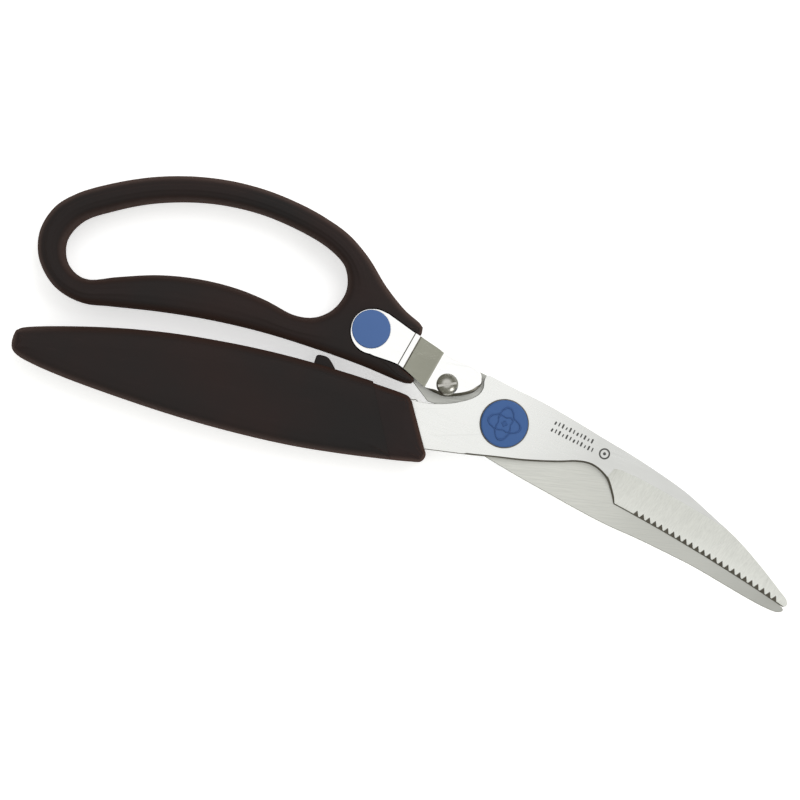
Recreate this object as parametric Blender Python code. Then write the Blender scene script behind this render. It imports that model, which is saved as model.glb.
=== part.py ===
"""Poultry shears: a serrated blade fixed in a straight grip, and a plain blade fixed in a closed
finger loop, which turn on one covered pivot with a return spring and a thumb lock.

Every length below is in millimetres and every mesh is built in metres. The pivot axis is Z through
the origin. +X runs to the blade tips, +Y to the finger loop and +Z to the side with the strap.
z = 0 is the flat outer face of the pivot's back cap. The shears are modelled closed and unlocked.
"""
import math

import bmesh
import bpy
from mathutils import Matrix, Vector
from mathutils.geometry import tessellate_polygon

MM = 0.001
GAP = 0.3  # clearance between neighbouring pieces
ROUND_SIDES = 48  # sides of a large turned piece
SMALL_SIDES = 24  # sides of a pin, a screw or a small hole
CHAMFER = 0.3
BELOW, ABOVE = -10.0, 20.0  # ends of the tools that cut right through

# Levels along Z.
MEETING_Z = 5.2  # plane in which the two blades slide over each other
BLADE_THICKNESS = 2.6
FRONT_BLADE_LOW = MEETING_Z + GAP / 2
FRONT_BLADE_TOP = FRONT_BLADE_LOW + BLADE_THICKNESS
BACK_BLADE_TOP = MEETING_Z - GAP / 2
BACK_BLADE_LOW = BACK_BLADE_TOP - BLADE_THICKNESS
HANDLE_HALF = 8.0
HANDLE_LOW = MEETING_Z - HANDLE_HALF
HANDLE_TOP = MEETING_Z + HANDLE_HALF
SPRING_POCKET_DEPTH = 1.35
GRIP_ROUND = (3.6, 4.6)  # width and height of the rounded rim
LOOP_ROUND = (3.4, 4.6)

# Pivot.
PIVOT_CAP_RADIUS = 7.45
PIVOT_CAP_HEIGHT = 2.15
PIVOT_HEAD_RADIUS = 6.0
PIVOT_HEAD_HEIGHT = 1.4
PIVOT_NUT_HEIGHT = 1.5
PIVOT_SHOULDER_RADIUS = 3.6
PIVOT_THREAD_RADIUS = 2.5
PIVOT_HOLE_RADIUS = PIVOT_SHOULDER_RADIUS + 0.25
SPRING_POCKET_RADIUS = 6.4
SPRING_RADIUS = 5.2
SPRING_WIRE_RADIUS = 0.4
SPRING_CLEARANCE = 0.25
SPRING_LEG_END = 8.0
SPRING_LOW_ANGLE = 200.0  # leg in the back blade, degrees from +X
SPRING_TURN = 610.0  # degrees from the low leg to the high one
OPEN_ANGLE = 38.0
SWING_MARGIN = 2.0  # extra room for the spring's leg at each end of the swing, in degrees

# Loop side: strap, screw and bolt.
STRAP_TURN = math.radians(-11.1)  # direction of the strap away from its round end
STRAP_END = (-47.4, 14.1)
STRAP_END_RADIUS = 7.1
STRAP_THICKNESS = 2.0
STRAP_TOP = HANDLE_TOP - GAP
STRAP_LOW_TOP = FRONT_BLADE_TOP + GAP + STRAP_THICKNESS
STRAP_BEND_START = 11.6  # along the strap from the centre of its round end
STRAP_SLOPE_START = 13.65
STRAP_SLOPE_END = 22.2
STRAP_BEND_DROP = 0.25
STRAP_BED = STRAP_TOP - STRAP_THICKNESS - 0.4
SCREW_PLACE = (-20.6, 5.9)
SCREW_HEAD_RADIUS = 3.37
SCREW_SHANK_RADIUS = 1.9
SCREW_FOOT = 3.0
SPACER_RADIUS = 3.2
SCREW_SLOT_WIDTH = 0.8
SCREW_SLOT_HEIGHT = 0.7  # of the slot's floor above the seat
SCREW_SLOT_TURN = math.radians(24)
LOOP_BOLT_PLACE = (-48.2, 14.6)
LOOP_BOLT_RADIUS = 2.6
LOOP_HEAD_RADIUS = 4.6
LOOP_HEAD_LOW, LOOP_HEAD_TOP = -1.6, -0.4
LOOP_SOCKET_RADIUS, LOOP_SOCKET_LOW = 1.6, 7.5  # hole in the bolt for the front cap's stud
LOOP_CAP_RADIUS = 5.95
LOOP_CAP_LOW, LOOP_CAP_TOP = -2.75, -1.9  # the cap on the back
LOOP_STUD_RADIUS = 1.3
LOOP_PIN_PLACE = (-40.0, 12.0)
LOOP_PIN_LOW, LOOP_PIN_TOP = -0.3, 8.8

# Grip side: pins and lock.
GRIP_PIN_PLACES = [(-47.0, -13.9), (-80.0, -16.0)]
GRIP_PIN_LOW, GRIP_PIN_TOP = -0.7, HANDLE_TOP - 2.2
PIN_RADIUS = 1.6
LOCK_TRAVEL = 4.5
LOCK_LOW, LOCK_TOP = 1.7, 8.7  # width of the thumb slide along Z
LOCK_LEFT, LOCK_RIGHT, LOCK_FOOT = -61.8, -55.2, -3.9
BAR_Y = -2.4
BAR_HALF_HEIGHT = 0.6
BAR_LOW, BAR_TOP = 2.75, 4.75
BAR_TAIL, BAR_NOSE = -60.8, -28.3
BAR_NOSE_RADIUS = 0.9
BAR_ROOM_FRONT = -20.0
DETENT_LOW, DETENT_TOP = 3.5, 6.9
DETENT_THICKNESS = 0.4
DETENT_ARCH = [(-60.2, -6.6), (-58.0, -6.2), (-56.0, -4.65), (-54.0, -6.2), (-51.8, -6.6)]

# Serrated edge of the front blade: a parabola about EDGE_ORIGIN.
EDGE_START, EDGE_END = 40.2, 100.0
EDGE_ORIGIN = (47.0, -14.1)
EDGE_SLOPE = -0.185
EDGE_BEND = -0.00095
PLAIN_EDGE_END = 46.0
TOOTH_COUNT = 24
FIRST_TOOTH = 47.8
TOOTH_PITCH = 2.13
TOOTH_DEPTH = 1.45
TOOTH_HALF_WIDTH = 0.86
TOOTH_HALF_TOP = 0.08
TOOTH_LEAN = 0.2  # how far a notch's top leans towards the handles
GRIND_WIDTH = 10.8
GRIND_START = [(32.8, 10.1), (36.5, 10.3), (40.5, 10.6)]  # x and width
GRIND_START_TURN = math.radians(-14)
GRIND_STATIONS = range(44, 109, 8)
BACK_GRIND_WIDTHS = [9.0, 9.0, 9.0, 9.0, 7.0, 4.0]
EDGE_THICKNESS = 0.4

LOOP_OUTER = [
    (-33.0, 18.4), (-33.3, 20.2), (-34.6, 21.2), (-40.0, 23.45), (-48.0, 28.65), (-56.0, 35.4),
    (-64.0, 40.2), (-72.0, 42.75), (-80.0, 44.3), (-92.0, 45.2), (-104.0, 44.4), (-116.0, 41.85),
    (-128.0, 37.5), (-140.0, 31.1), (-148.0, 25.45), (-153.0, 19.6), (-155.1, 11.5),
    (-153.4, 4.2), (-149.4, -1.0), (-144.0, -4.55), (-136.0, -6.0), (-128.0, -4.35),
    (-112.0, -0.9), (-96.0, 1.65), (-80.0, 3.1), (-64.0, 3.45), (-48.0, 3.1), (-33.0, 2.15),
    (-31.3, 2.6), (-30.7, 3.5), (-31.0, 4.4),
]
LOOP_MOUTH = [(-31.0, 4.4), (-33.0, 5.6), (-35.0, 6.5), (-33.2, 17.6), (-33.0, 18.4)]
FINGER_HOLE = [
    (-144.0, 18.05), (-136.0, 24.2), (-124.0, 30.8), (-108.0, 36.0), (-92.0, 37.75),
    (-76.0, 36.2), (-68.0, 34.0), (-62.6, 30.9), (-60.0, 26.65), (-59.4, 22.5), (-61.5, 16.6),
    (-66.0, 12.6), (-72.0, 11.25), (-82.0, 12.8), (-92.0, 13.4), (-104.0, 12.4), (-116.0, 9.65),
    (-128.0, 5.0), (-136.0, 1.55), (-141.0, 2.0), (-145.0, 5.0), (-146.9, 11.0),
]
GRIP_EDGE = [
    (-28.0, -0.4), (-52.0, -0.5), (-62.0, -0.8), (-76.0, -1.75), (-92.0, -3.65),
    (-108.0, -6.35), (-124.0, -10.15), (-140.0, -15.0), (-148.4, -18.0), (-151.0, -19.2),
    (-152.3, -20.4), (-152.6, -22.2), (-152.4, -24.6), (-151.6, -26.4), (-149.6, -27.7),
    (-144.0, -28.8), (-132.0, -29.75), (-108.0, -30.2), (-92.0, -29.9), (-76.0, -28.95),
    (-60.0, -27.3), (-44.0, -24.65), (-28.0, -21.4),
]
COLLAR_REAR = [(-52.0, -26.3), (-52.0, -0.8)]
COLLAR_TOP_EDGE = [(-52.0, -0.8), (-42.0, -0.9), (-32.0, -1.1), (-30.6, -1.4), (-29.3, -2.5)]
COLLAR_LOW_EDGE = [
    (-21.0, -15.2), (-20.1, -16.4), (-20.0, -18.0), (-20.8, -19.4), (-24.0, -20.4),
    (-30.0, -21.8), (-52.0, -26.3),
]
SEAM_TOP, SEAM_LOW = (-42.4, -0.9), (-30.0, -21.8)  # joint between the shells and the collar

FRONT_SPINE = [
    (-9.1, 12.8), (0.0, 11.4), (10.0, 10.0), (20.0, 8.0), (30.0, 5.7), (40.0, 3.5), (50.7, 0.7),
    (60.3, -2.3), (70.0, -6.5), (80.0, -11.1), (90.0, -17.0), (98.0, -22.3), (100.5, -24.0),
    (101.2, -25.3), (101.0, -26.1), (100.0, -26.57),
]
BONE_NOTCH = [
    (40.2, -12.9), (38.7, -10.3), (35.7, -6.3), (33.3, -4.7), (31.0, -3.8), (28.7, -3.5),
    (25.0, -4.1), (20.0, -5.9), (10.0, -8.8), (0.0, -11.0), (-8.0, -12.8), (-20.5, -15.3),
]
GRIP_TANG = [
    (-20.5, -15.3), (-28.0, -17.2), (-48.0, -17.2), (-70.0, -18.2), (-90.0, -19.3),
    (-94.0, -18.6), (-95.5, -16.9), (-94.0, -15.2), (-90.0, -14.2), (-70.0, -12.6),
    (-48.0, -10.6), (-38.0, -7.8), (-32.5, -4.0), (-29.3, -2.2),
]
FRONT_SHOULDER = [
    (-29.3, -2.2), (-24.0, -1.4), (-20.0, -0.2), (-16.0, 1.6), (-12.0, 4.2), (-10.2, 6.2),
    (-9.6, 8.5), (-10.1, 11.0), (-9.7, 12.4), (-9.1, 12.8),
]

BACK_SPINE = [
    (-21.0, -5.9), (-12.0, -9.2), (-2.0, -11.7), (10.0, -14.3), (20.0, -16.2), (30.0, -18.1),
    (40.0, -19.7), (50.0, -20.7), (60.0, -21.9), (70.0, -23.3), (80.0, -25.3), (90.0, -27.3),
    (95.0, -28.0), (98.3, -28.3), (100.0, -27.9), (100.1, -27.3),
]
BACK_EDGE = [
    (100.1, -27.3), (95.0, -24.8), (80.0, -18.0), (60.0, -10.5), (40.0, -3.5), (25.0, 2.5),
    (12.0, 6.5),
]
BACK_GRIND = [(108.0, -30.8), (88.0, -21.7), (70.0, -14.3), (50.0, -7.0), (32.0, -0.4), (18.0, 4.9)]
BACK_TOP_EDGE = [
    (12.0, 6.5), (6.0, 9.4), (0.0, 11.0), (-8.0, 12.3), (-20.0, 13.8), (-24.0, 14.4),
    (-33.0, 16.5), (-42.0, 18.9), (-49.0, 20.2), (-53.6, 18.6), (-55.4, 14.3), (-53.2, 9.9),
    (-48.0, 8.5), (-38.0, 6.4), (-33.0, 4.6), (-30.6, 3.1),
]
LOCK_NOTCH = [
    (-24.65, -0.95), (-21.4, -0.95), (-20.9, -1.5), (-20.9, -3.1), (-21.4, -3.65),
    (-24.2, -3.65), (-23.6, -4.7), (-21.0, -5.9),
]


def clear_scene():
    for old in list(bpy.data.objects):
        bpy.data.objects.remove(old)


def material(name, colour, roughness, metallic):
    made = bpy.data.materials.new(name)
    made.use_nodes = True
    shader = made.node_tree.nodes["Principled BSDF"]
    shader.inputs["Base Color"].default_value = (*colour, 1.0)
    shader.inputs["Roughness"].default_value = roughness
    shader.inputs["Metallic"].default_value = metallic
    return made


# ---------------------------------------------------------------- outlines

def smooth(points, step, closed=False):
    """Points about step apart on a smooth curve through the given ones."""
    points = [Vector(point) for point in points]
    count = len(points)
    result = []
    for index in range(count if closed else count - 1):
        start, end = points[index], points[(index + 1) % count]
        before = points[index - 1] if closed or index else start * 2 - end
        after = points[(index + 2) % count] if closed or index + 2 < count else end * 2 - start
        gaps = [(b - a).length ** 0.5 for a, b in ((before, start), (start, end), (end, after))]
        leave = (start - before) / gaps[0] - (end - before) / (gaps[0] + gaps[1])
        leave = (leave + (end - start) / gaps[1]) * gaps[1]
        arrive = (end - start) / gaps[1] - (after - start) / (gaps[1] + gaps[2])
        arrive = (arrive + (after - end) / gaps[2]) * gaps[1]
        pieces = max(1, round((end - start).length / step))
        for piece in range(pieces):
            t = piece / pieces
            result.append(
                start * (2 * t ** 3 - 3 * t ** 2 + 1) + leave * (t ** 3 - 2 * t ** 2 + t)
                + end * (3 * t ** 2 - 2 * t ** 3) + arrive * (t ** 3 - t ** 2)
            )
    if not closed:
        result.append(points[-1])
    return result


def joined(*stretches):
    """One closed outline, counter-clockwise, from stretches that meet end to end."""
    outline = []
    for stretch in stretches:
        for point in stretch:
            point = Vector(point)
            if not outline or (point - outline[-1]).length > 0.01:
                outline.append(point)
    if (outline[0] - outline[-1]).length < 0.01:
        outline.pop()
    return counter_clockwise(outline)


def counter_clockwise(outline):
    twice_area = sum(a.cross(b) for a, b in zip(outline, outline[1:] + outline[:1]))
    return outline if twice_area > 0 else outline[::-1]


def left_normals(outline):
    """Unit vectors to the left of the outline's direction, into a counter-clockwise outline."""
    normals = []
    for index, point in enumerate(outline):
        arriving = (point - outline[index - 1]).normalized()
        leaving = (outline[(index + 1) % len(outline)] - point).normalized()
        along = (arriving + leaving).normalized()
        normals.append(Vector((-along.y, along.x)))
    return normals


def grown(outline, distance):
    """The outline moved outwards, with its corners kept."""
    result = []
    for index, (point, normal) in enumerate(zip(outline, left_normals(outline))):
        edge = (point - outline[index - 1]).normalized()
        half_turn = max(0.5, Vector((-edge.y, edge.x)).dot(normal))
        result.append(point - normal * (distance / half_turn))
    return result


def insets(loops, width):
    """How far each point of the loops can move inwards, at most width, without folding."""
    points = [point for loop in loops for point in loop]
    normals = [normal for loop in loops for normal in left_normals(loop)]
    rooms = []
    for point, normal in zip(points, normals):
        room = width / 0.7
        for other in points:
            reach = (other - point).dot(normal)
            if reach > 1e-6:
                room = min(room, (other - point).length_squared / (2 * reach))
        rooms.append(0.7 * room)
    start = 0
    result = []
    for loop in loops:
        depths = rooms[start:start + len(loop)]
        start += len(loop)
        for _ in range(3):
            for i in list(range(len(loop))) + list(range(len(loop)))[::-1]:
                after = (i + 1) % len(loop)
                depths[i] = min(
                    depths[i],
                    depths[i - 1] + 0.5 * (loop[i] - loop[i - 1]).length,
                    depths[after] + 0.5 * (loop[after] - loop[i]).length,
                )
        result.append(depths)
    return result


# ---------------------------------------------------------------- solids

def to_object(name, bm, look, place=(0, 0, 0)):
    """An object from a mesh drawn in millimetres about its own origin, put at place."""
    bmesh.ops.remove_doubles(bm, verts=bm.verts, dist=1e-4)
    bmesh.ops.recalc_face_normals(bm, faces=bm.faces)
    bmesh.ops.scale(bm, vec=(MM, MM, MM), verts=bm.verts)
    mesh = bpy.data.meshes.new(name)
    bm.to_mesh(mesh)
    bm.free()
    made = bpy.data.objects.new(name, mesh)
    made.location = Vector(place) * MM
    bpy.context.collection.objects.link(made)
    if look:
        mesh.materials.append(look)
    return made


def add_rings(bm, rings):
    """Walls between rings of points with equal counts; returns the rings' vertices."""
    made = [[bm.verts.new(point) for point in ring] for ring in rings]
    for low, high in zip(made, made[1:]):
        for i in range(len(low)):
            after = (i + 1) % len(low)
            bm.faces.new((low[i], low[after], high[after], high[i]))
    return made


def add_cap(bm, loops):
    """Triangles that fill a flat outline and leave its holes open."""
    flat = [vertex for loop in loops for vertex in loop]
    for triangle in tessellate_polygon([[vertex.co for vertex in loop] for loop in loops]):
        bm.faces.new([flat[i] for i in triangle])


def plate(name, outline, low, top, look=None, holes=(), place=(0, 0, 0)):
    """A flat plate with square edges."""
    bm = bmesh.new()
    walls = []
    for loop in [outline, *holes]:
        walls.append(add_rings(bm, [[(p.x, p.y, z) for p in loop] for z in (low, top)]))
    add_cap(bm, [wall[0] for wall in walls])
    add_cap(bm, [wall[-1] for wall in walls])
    return to_object(name, bm, look, place)


def rounded_plate(name, loops, flat_z, round_z, rim, look=None, steps=3):
    """A plate that is square at flat_z and has a rounded rim of (width, height) at round_z."""
    width, height = rim
    depths = insets(loops, width)
    side_z = round_z + math.copysign(height, flat_z - round_z)
    bm = bmesh.new()
    walls = []
    for loop, depth in zip(loops, depths):
        rings = [[(p.x, p.y, flat_z) for p in loop]]
        for step in range(steps + 1):
            angle = math.pi / 2 * step / steps
            z = side_z + (round_z - side_z) * math.sin(angle)
            rings.append([
                (p.x + n.x * d * (1 - math.cos(angle)), p.y + n.y * d * (1 - math.cos(angle)), z)
                for p, n, d in zip(loop, left_normals(loop), depth)
            ])
        walls.append(add_rings(bm, rings))
    add_cap(bm, [wall[0] for wall in walls])
    add_cap(bm, [wall[-1] for wall in walls])
    return to_object(name, bm, look)


def turned(name, profile, look=None, sides=SMALL_SIDES, place=(0, 0, 0), closed=False):
    """A piece turned about Z from (radius, z) points; closed for a ring with a bore."""
    bm = bmesh.new()
    vertices = [bm.verts.new((radius, 0, z)) for radius, z in profile]
    pairs = list(zip(vertices, vertices[1:]))
    if closed:
        pairs.append((vertices[-1], vertices[0]))
    edges = [bm.edges.new(pair) for pair in pairs]
    bmesh.ops.spin(
        bm, geom=vertices + edges, axis=(0, 0, 1), cent=(0, 0, 0), angle=2 * math.pi,
        steps=sides, use_merge=True,
    )
    return to_object(name, bm, look, place)


def rod(name, radius, low, top, look=None, sides=SMALL_SIDES, place=(0, 0)):
    profile = [(0, top), (radius, top), (radius, low), (0, low)]
    return turned(name, profile, look, sides, (place[0], place[1], 0))


def box(name, corner, far_corner):
    bm = bmesh.new()
    outline = [(corner[0], corner[1]), (far_corner[0], corner[1]),
               (far_corner[0], far_corner[1]), (corner[0], far_corner[1])]
    walls = add_rings(bm, [[(x, y, z) for x, y in outline] for z in (corner[2], far_corner[2])])
    add_cap(bm, [walls[0]])
    add_cap(bm, [walls[1]])
    return to_object(name, bm, None)


def lofted(name, sections):
    """A closed solid through sections with equal counts of points."""
    bm = bmesh.new()
    made = add_rings(bm, sections)
    bm.faces.new(made[0])
    bm.faces.new(made[-1])
    return to_object(name, bm, None)


def shape(target, tool, operation="DIFFERENCE"):
    """Cuts the tool out of the target, joins it or keeps what both share; removes the tool."""
    modifier = target.modifiers.new("shape", "BOOLEAN")
    modifier.operation = operation
    modifier.solver = "EXACT"
    modifier.object = tool
    depsgraph = bpy.context.evaluated_depsgraph_get()
    depsgraph.update()
    mesh = bpy.data.meshes.new_from_object(target.evaluated_get(depsgraph))
    target.modifiers.clear()
    target.data = mesh
    bpy.data.objects.remove(tool)


def drill(target, place, radius, low, top, sides=SMALL_SIDES):
    shape(target, rod("drill", radius, low, top, None, sides, place))


def bore(target, place, steps, sides):
    """Cuts a stepped hole: each (z, radius) step runs down to the next one's z."""
    profile = [(0, steps[0][0])]
    for (top, radius), (low, _) in zip(steps, steps[1:]):
        profile += [(radius, top), (radius, low)]
    profile.append((0, steps[-1][0]))
    shape(target, turned("bore", profile, None, sides, (place[0], place[1], 0)))


def seam_block(side):
    """A block on one side of the seam, half a gap away from it: +1 is the collar's side."""
    start, end = Vector(SEAM_TOP), Vector(SEAM_LOW)
    along = (end - start).normalized()
    out = Vector((-along.y, along.x)) * side
    first = start - along * 200 + out * GAP / 2
    second = end + along * 200 + out * GAP / 2
    outline = counter_clockwise([first, second, second + out * 200, first + out * 200])
    return plate("seam_block", outline, BELOW, ABOVE)


def edge_height(x):
    """Y of the front blade's cutting edge."""
    run = x - EDGE_ORIGIN[0]
    return EDGE_ORIGIN[1] + EDGE_SLOPE * run + EDGE_BEND * run ** 2


def edge_point(x, inwards):
    slope = EDGE_SLOPE + 2 * EDGE_BEND * (x - EDGE_ORIGIN[0])
    normal = Vector((-slope, 1.0)).normalized()
    return Vector((x, edge_height(x))) + normal * inwards


def serrated_edge():
    """The cutting edge from the tip back to the bone notch, with a row of pointed notches."""
    points = [edge_point(EDGE_END, 0)]
    for tooth in reversed(range(TOOTH_COUNT)):
        middle = FIRST_TOOTH + tooth * TOOTH_PITCH
        points += [edge_point(middle + TOOTH_HALF_WIDTH, 0),
                   edge_point(middle - TOOTH_LEAN + TOOTH_HALF_TOP, TOOTH_DEPTH),
                   edge_point(middle - TOOTH_LEAN - TOOTH_HALF_TOP, TOOTH_DEPTH),
                   edge_point(middle - TOOTH_HALF_WIDTH, 0)]
    points += [edge_point(PLAIN_EDGE_END, 0), edge_point(EDGE_START, 0)]
    return points


def grind_cutter(edge_points, widths, face_z, edge_z, start_turn=0.0):
    """A long wedge that grinds a blade from face_z down to edge_z at its cutting edge; its first
    end is turned by start_turn."""
    away = math.copysign(6.0, face_z - edge_z)
    sections = []
    for index, point in enumerate(edge_points):
        before = edge_points[max(index - 1, 0)]
        after = edge_points[min(index + 1, len(edge_points) - 1)]
        along = (after - before).normalized()
        inwards = Vector((-along.y, along.x))
        if index == 0:
            inwards = Matrix.Rotation(start_turn, 2) @ inwards
        width = widths[index]
        slope = (face_z - edge_z) / width
        outer = point - inwards * 3
        inner = point + inwards * (width + 3)
        sections.append([
            (outer.x, outer.y, edge_z - slope * 3),
            (inner.x, inner.y, face_z + slope * 3),
            (inner.x, inner.y, face_z + away),
            (outer.x, outer.y, face_z + away),
        ])
    return lofted("grind_cutter", sections)


# ---------------------------------------------------------------- pieces

def front_blade(steel):
    outline = joined(smooth(FRONT_SPINE, 4), serrated_edge(), smooth(BONE_NOTCH, 3),
                     smooth(GRIP_TANG, 4), smooth(FRONT_SHOULDER, 2))
    blade = plate("front_blade", outline, FRONT_BLADE_LOW, FRONT_BLADE_TOP, steel)
    stations = GRIND_START + [(x, GRIND_WIDTH) for x in GRIND_STATIONS]
    shape(blade, grind_cutter([edge_point(x, 0) for x, _ in stations],
                              [width for _, width in stations], FRONT_BLADE_TOP,
                              FRONT_BLADE_LOW + EDGE_THICKNESS, GRIND_START_TURN))
    pocket_z = FRONT_BLADE_LOW + SPRING_POCKET_DEPTH
    bore(blade, (0, 0), [(ABOVE, PIVOT_HOLE_RADIUS), (pocket_z, SPRING_POCKET_RADIUS),
                         (BELOW, 0)], ROUND_SIDES)
    leg = math.radians(SPRING_LOW_ANGLE + SPRING_TURN)
    shape(blade, leg_slot(leg, leg, BELOW, pocket_z))
    for place in GRIP_PIN_PLACES:
        drill(blade, place, PIN_RADIUS + GAP, BELOW, ABOVE)
    return blade


def back_blade(steel):
    outline = joined(LOCK_NOTCH, smooth(BACK_SPINE, 5), smooth(BACK_EDGE, 8),
                     smooth(BACK_TOP_EDGE, 3))
    blade = plate("back_blade", outline, BACK_BLADE_LOW, BACK_BLADE_TOP, steel)
    shape(blade, grind_cutter([Vector(point) for point in BACK_GRIND], BACK_GRIND_WIDTHS,
                              BACK_BLADE_LOW, BACK_BLADE_TOP - EDGE_THICKNESS))
    pocket_z = BACK_BLADE_TOP - SPRING_POCKET_DEPTH
    bore(blade, (0, 0), [(ABOVE, SPRING_POCKET_RADIUS), (pocket_z, PIVOT_HOLE_RADIUS),
                         (BELOW, 0)], ROUND_SIDES)
    leg = math.radians(SPRING_LOW_ANGLE - SWING_MARGIN)
    swing = math.radians(OPEN_ANGLE + 2 * SWING_MARGIN)
    shape(blade, leg_slot(leg, leg + swing, pocket_z, ABOVE))
    drill(blade, SCREW_PLACE, SCREW_SHANK_RADIUS + GAP, BELOW, ABOVE)
    drill(blade, LOOP_BOLT_PLACE, LOOP_BOLT_RADIUS + GAP, BELOW, ABOVE)
    drill(blade, LOOP_PIN_PLACE, PIN_RADIUS + GAP, BELOW, ABOVE)
    return blade


def leg_slot(start, end, low, top):
    """The room for a leg of the return spring, from inside the pocket to past the leg's end."""
    half = math.asin((SPRING_WIRE_RADIUS + GAP) / (SPRING_RADIUS + 1))
    steps = max(1, round((end - start) / 0.15))
    angles = [start - half + (end - start + 2 * half) * i / steps for i in range(steps + 1)]
    outer = SPRING_LEG_END + GAP
    inner = SPRING_RADIUS - SPRING_WIRE_RADIUS - GAP
    outline = [Vector((outer * math.cos(a), outer * math.sin(a))) for a in angles]
    outline += [Vector((inner * math.cos(a), inner * math.sin(a))) for a in reversed(angles)]
    return plate("leg_slot", counter_clockwise(outline), low, top)


def pivot(steel, blue):
    head_top = BACK_BLADE_LOW - GAP
    head_low = head_top - PIVOT_HEAD_HEIGHT
    nut_low = FRONT_BLADE_TOP + GAP
    nut_top = nut_low + PIVOT_NUT_HEIGHT
    bolt_top = nut_top - 0.2
    turned("pivot_bolt", [
        (0, bolt_top), (PIVOT_THREAD_RADIUS - CHAMFER, bolt_top),
        (PIVOT_THREAD_RADIUS, bolt_top - CHAMFER), (PIVOT_THREAD_RADIUS, nut_low - GAP),
        (PIVOT_SHOULDER_RADIUS, nut_low - GAP), (PIVOT_SHOULDER_RADIUS, head_top),
        (PIVOT_HEAD_RADIUS, head_top), (PIVOT_HEAD_RADIUS, head_low + CHAMFER),
        (PIVOT_HEAD_RADIUS - CHAMFER, head_low), (0, head_low),
    ], steel, ROUND_SIDES)
    hole = PIVOT_THREAD_RADIUS + GAP
    turned("pivot_nut", [
        (hole, nut_top), (PIVOT_HEAD_RADIUS - CHAMFER, nut_top),
        (PIVOT_HEAD_RADIUS, nut_top - CHAMFER), (PIVOT_HEAD_RADIUS, nut_low), (hole, nut_low),
    ], steel, ROUND_SIDES, closed=True)
    cavity = PIVOT_HEAD_RADIUS + GAP
    turned("pivot_cap_back", [
        (0, head_low - GAP), (cavity, head_low - GAP), (cavity, PIVOT_CAP_HEIGHT),
        (PIVOT_CAP_RADIUS, PIVOT_CAP_HEIGHT), (PIVOT_CAP_RADIUS, 0.4),
        (PIVOT_CAP_RADIUS - 0.4, 0), (0, 0),
    ], blue, ROUND_SIDES)
    rim = nut_low + PIVOT_CAP_HEIGHT - 0.45
    turned("pivot_cap_front", [
        (0, rim + 0.5), (2.6, rim + 0.45), (2.9, rim + 0.2), (3.5, rim + 0.2), (3.8, rim + 0.4),
        (6.2, rim + 0.2), (7.1, rim - 0.1), (PIVOT_CAP_RADIUS, rim - 0.5),
        (PIVOT_CAP_RADIUS, nut_low), (cavity, nut_low), (cavity, nut_top + 0.1),
        (0, nut_top + 0.1),
    ], blue, ROUND_SIDES)


def pivot_spring(steel):
    """A torsion spring of under two turns, with a radial leg at each end."""
    inset = SPRING_WIRE_RADIUS + SPRING_CLEARANCE
    low = BACK_BLADE_TOP - SPRING_POCKET_DEPTH + inset
    high = FRONT_BLADE_LOW + SPRING_POCKET_DEPTH - inset
    steps = 40
    path = []
    for step in range(steps + 1):
        part = step / steps
        angle = math.radians(SPRING_LOW_ANGLE + SPRING_TURN * part)
        path.append((SPRING_RADIUS * math.cos(angle), SPRING_RADIUS * math.sin(angle),
                     low + (high - low) * part))
    first, last = Vector(path[0]), Vector(path[-1])
    outwards = SPRING_LEG_END / SPRING_RADIUS
    path.insert(0, (first.x * outwards, first.y * outwards, first.z))
    path.append((last.x * outwards, last.y * outwards, last.z))
    curve = bpy.data.curves.new("pivot_spring", "CURVE")
    curve.dimensions = "3D"
    curve.bevel_depth = SPRING_WIRE_RADIUS * MM
    curve.bevel_resolution = 1
    curve.use_fill_caps = True
    spline = curve.splines.new("POLY")
    spline.points.add(len(path) - 1)
    for point, place in zip(spline.points, path):
        point.co = (place[0] * MM, place[1] * MM, place[2] * MM, 1)
    made = bpy.data.objects.new("pivot_spring", curve)
    made.data.materials.append(steel)
    bpy.context.collection.objects.link(made)


def grip_shell(name, flat_z, round_z, plastic):
    outline = joined(smooth(GRIP_EDGE, 4))
    shell = rounded_plate(name, [outline], flat_z, round_z, GRIP_ROUND, plastic)
    shape(shell, seam_block(-1), "INTERSECT")
    for place in GRIP_PIN_PLACES:
        drill(shell, place, PIN_RADIUS + GAP, GRIP_PIN_LOW - GAP, GRIP_PIN_TOP + GAP)
    slot_end = LOCK_RIGHT + LOCK_TRAVEL + GAP
    shape(shell, box("slide_slot", (LOCK_LEFT - GAP, LOCK_FOOT - GAP, LOCK_LOW - GAP),
                     (slot_end, 5, LOCK_TOP + GAP)))
    detent_foot = DETENT_ARCH[0][1] - DETENT_THICKNESS - GAP
    shape(shell, box("detent_room", (DETENT_ARCH[0][0] - GAP, detent_foot, DETENT_LOW - GAP),
                     (DETENT_ARCH[-1][0] + GAP, LOCK_FOOT, DETENT_TOP + GAP)))
    return shell


def grip_tang_room():
    outline = grown(joined(smooth(GRIP_TANG, 4), smooth(FRONT_SHOULDER[:3], 2),
                           [(-12.0, -5.0), (-12.0, -13.6)]), GAP)
    return plate("tang_room", outline, FRONT_BLADE_LOW - GAP, FRONT_BLADE_TOP + GAP)


def bar_room(start, end):
    reach = BAR_HALF_HEIGHT + GAP
    return box("bar_room", (start, BAR_Y - reach, BAR_LOW - GAP), (end, BAR_Y + reach,
                                                                  BAR_TOP + GAP + 0.01))


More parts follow.
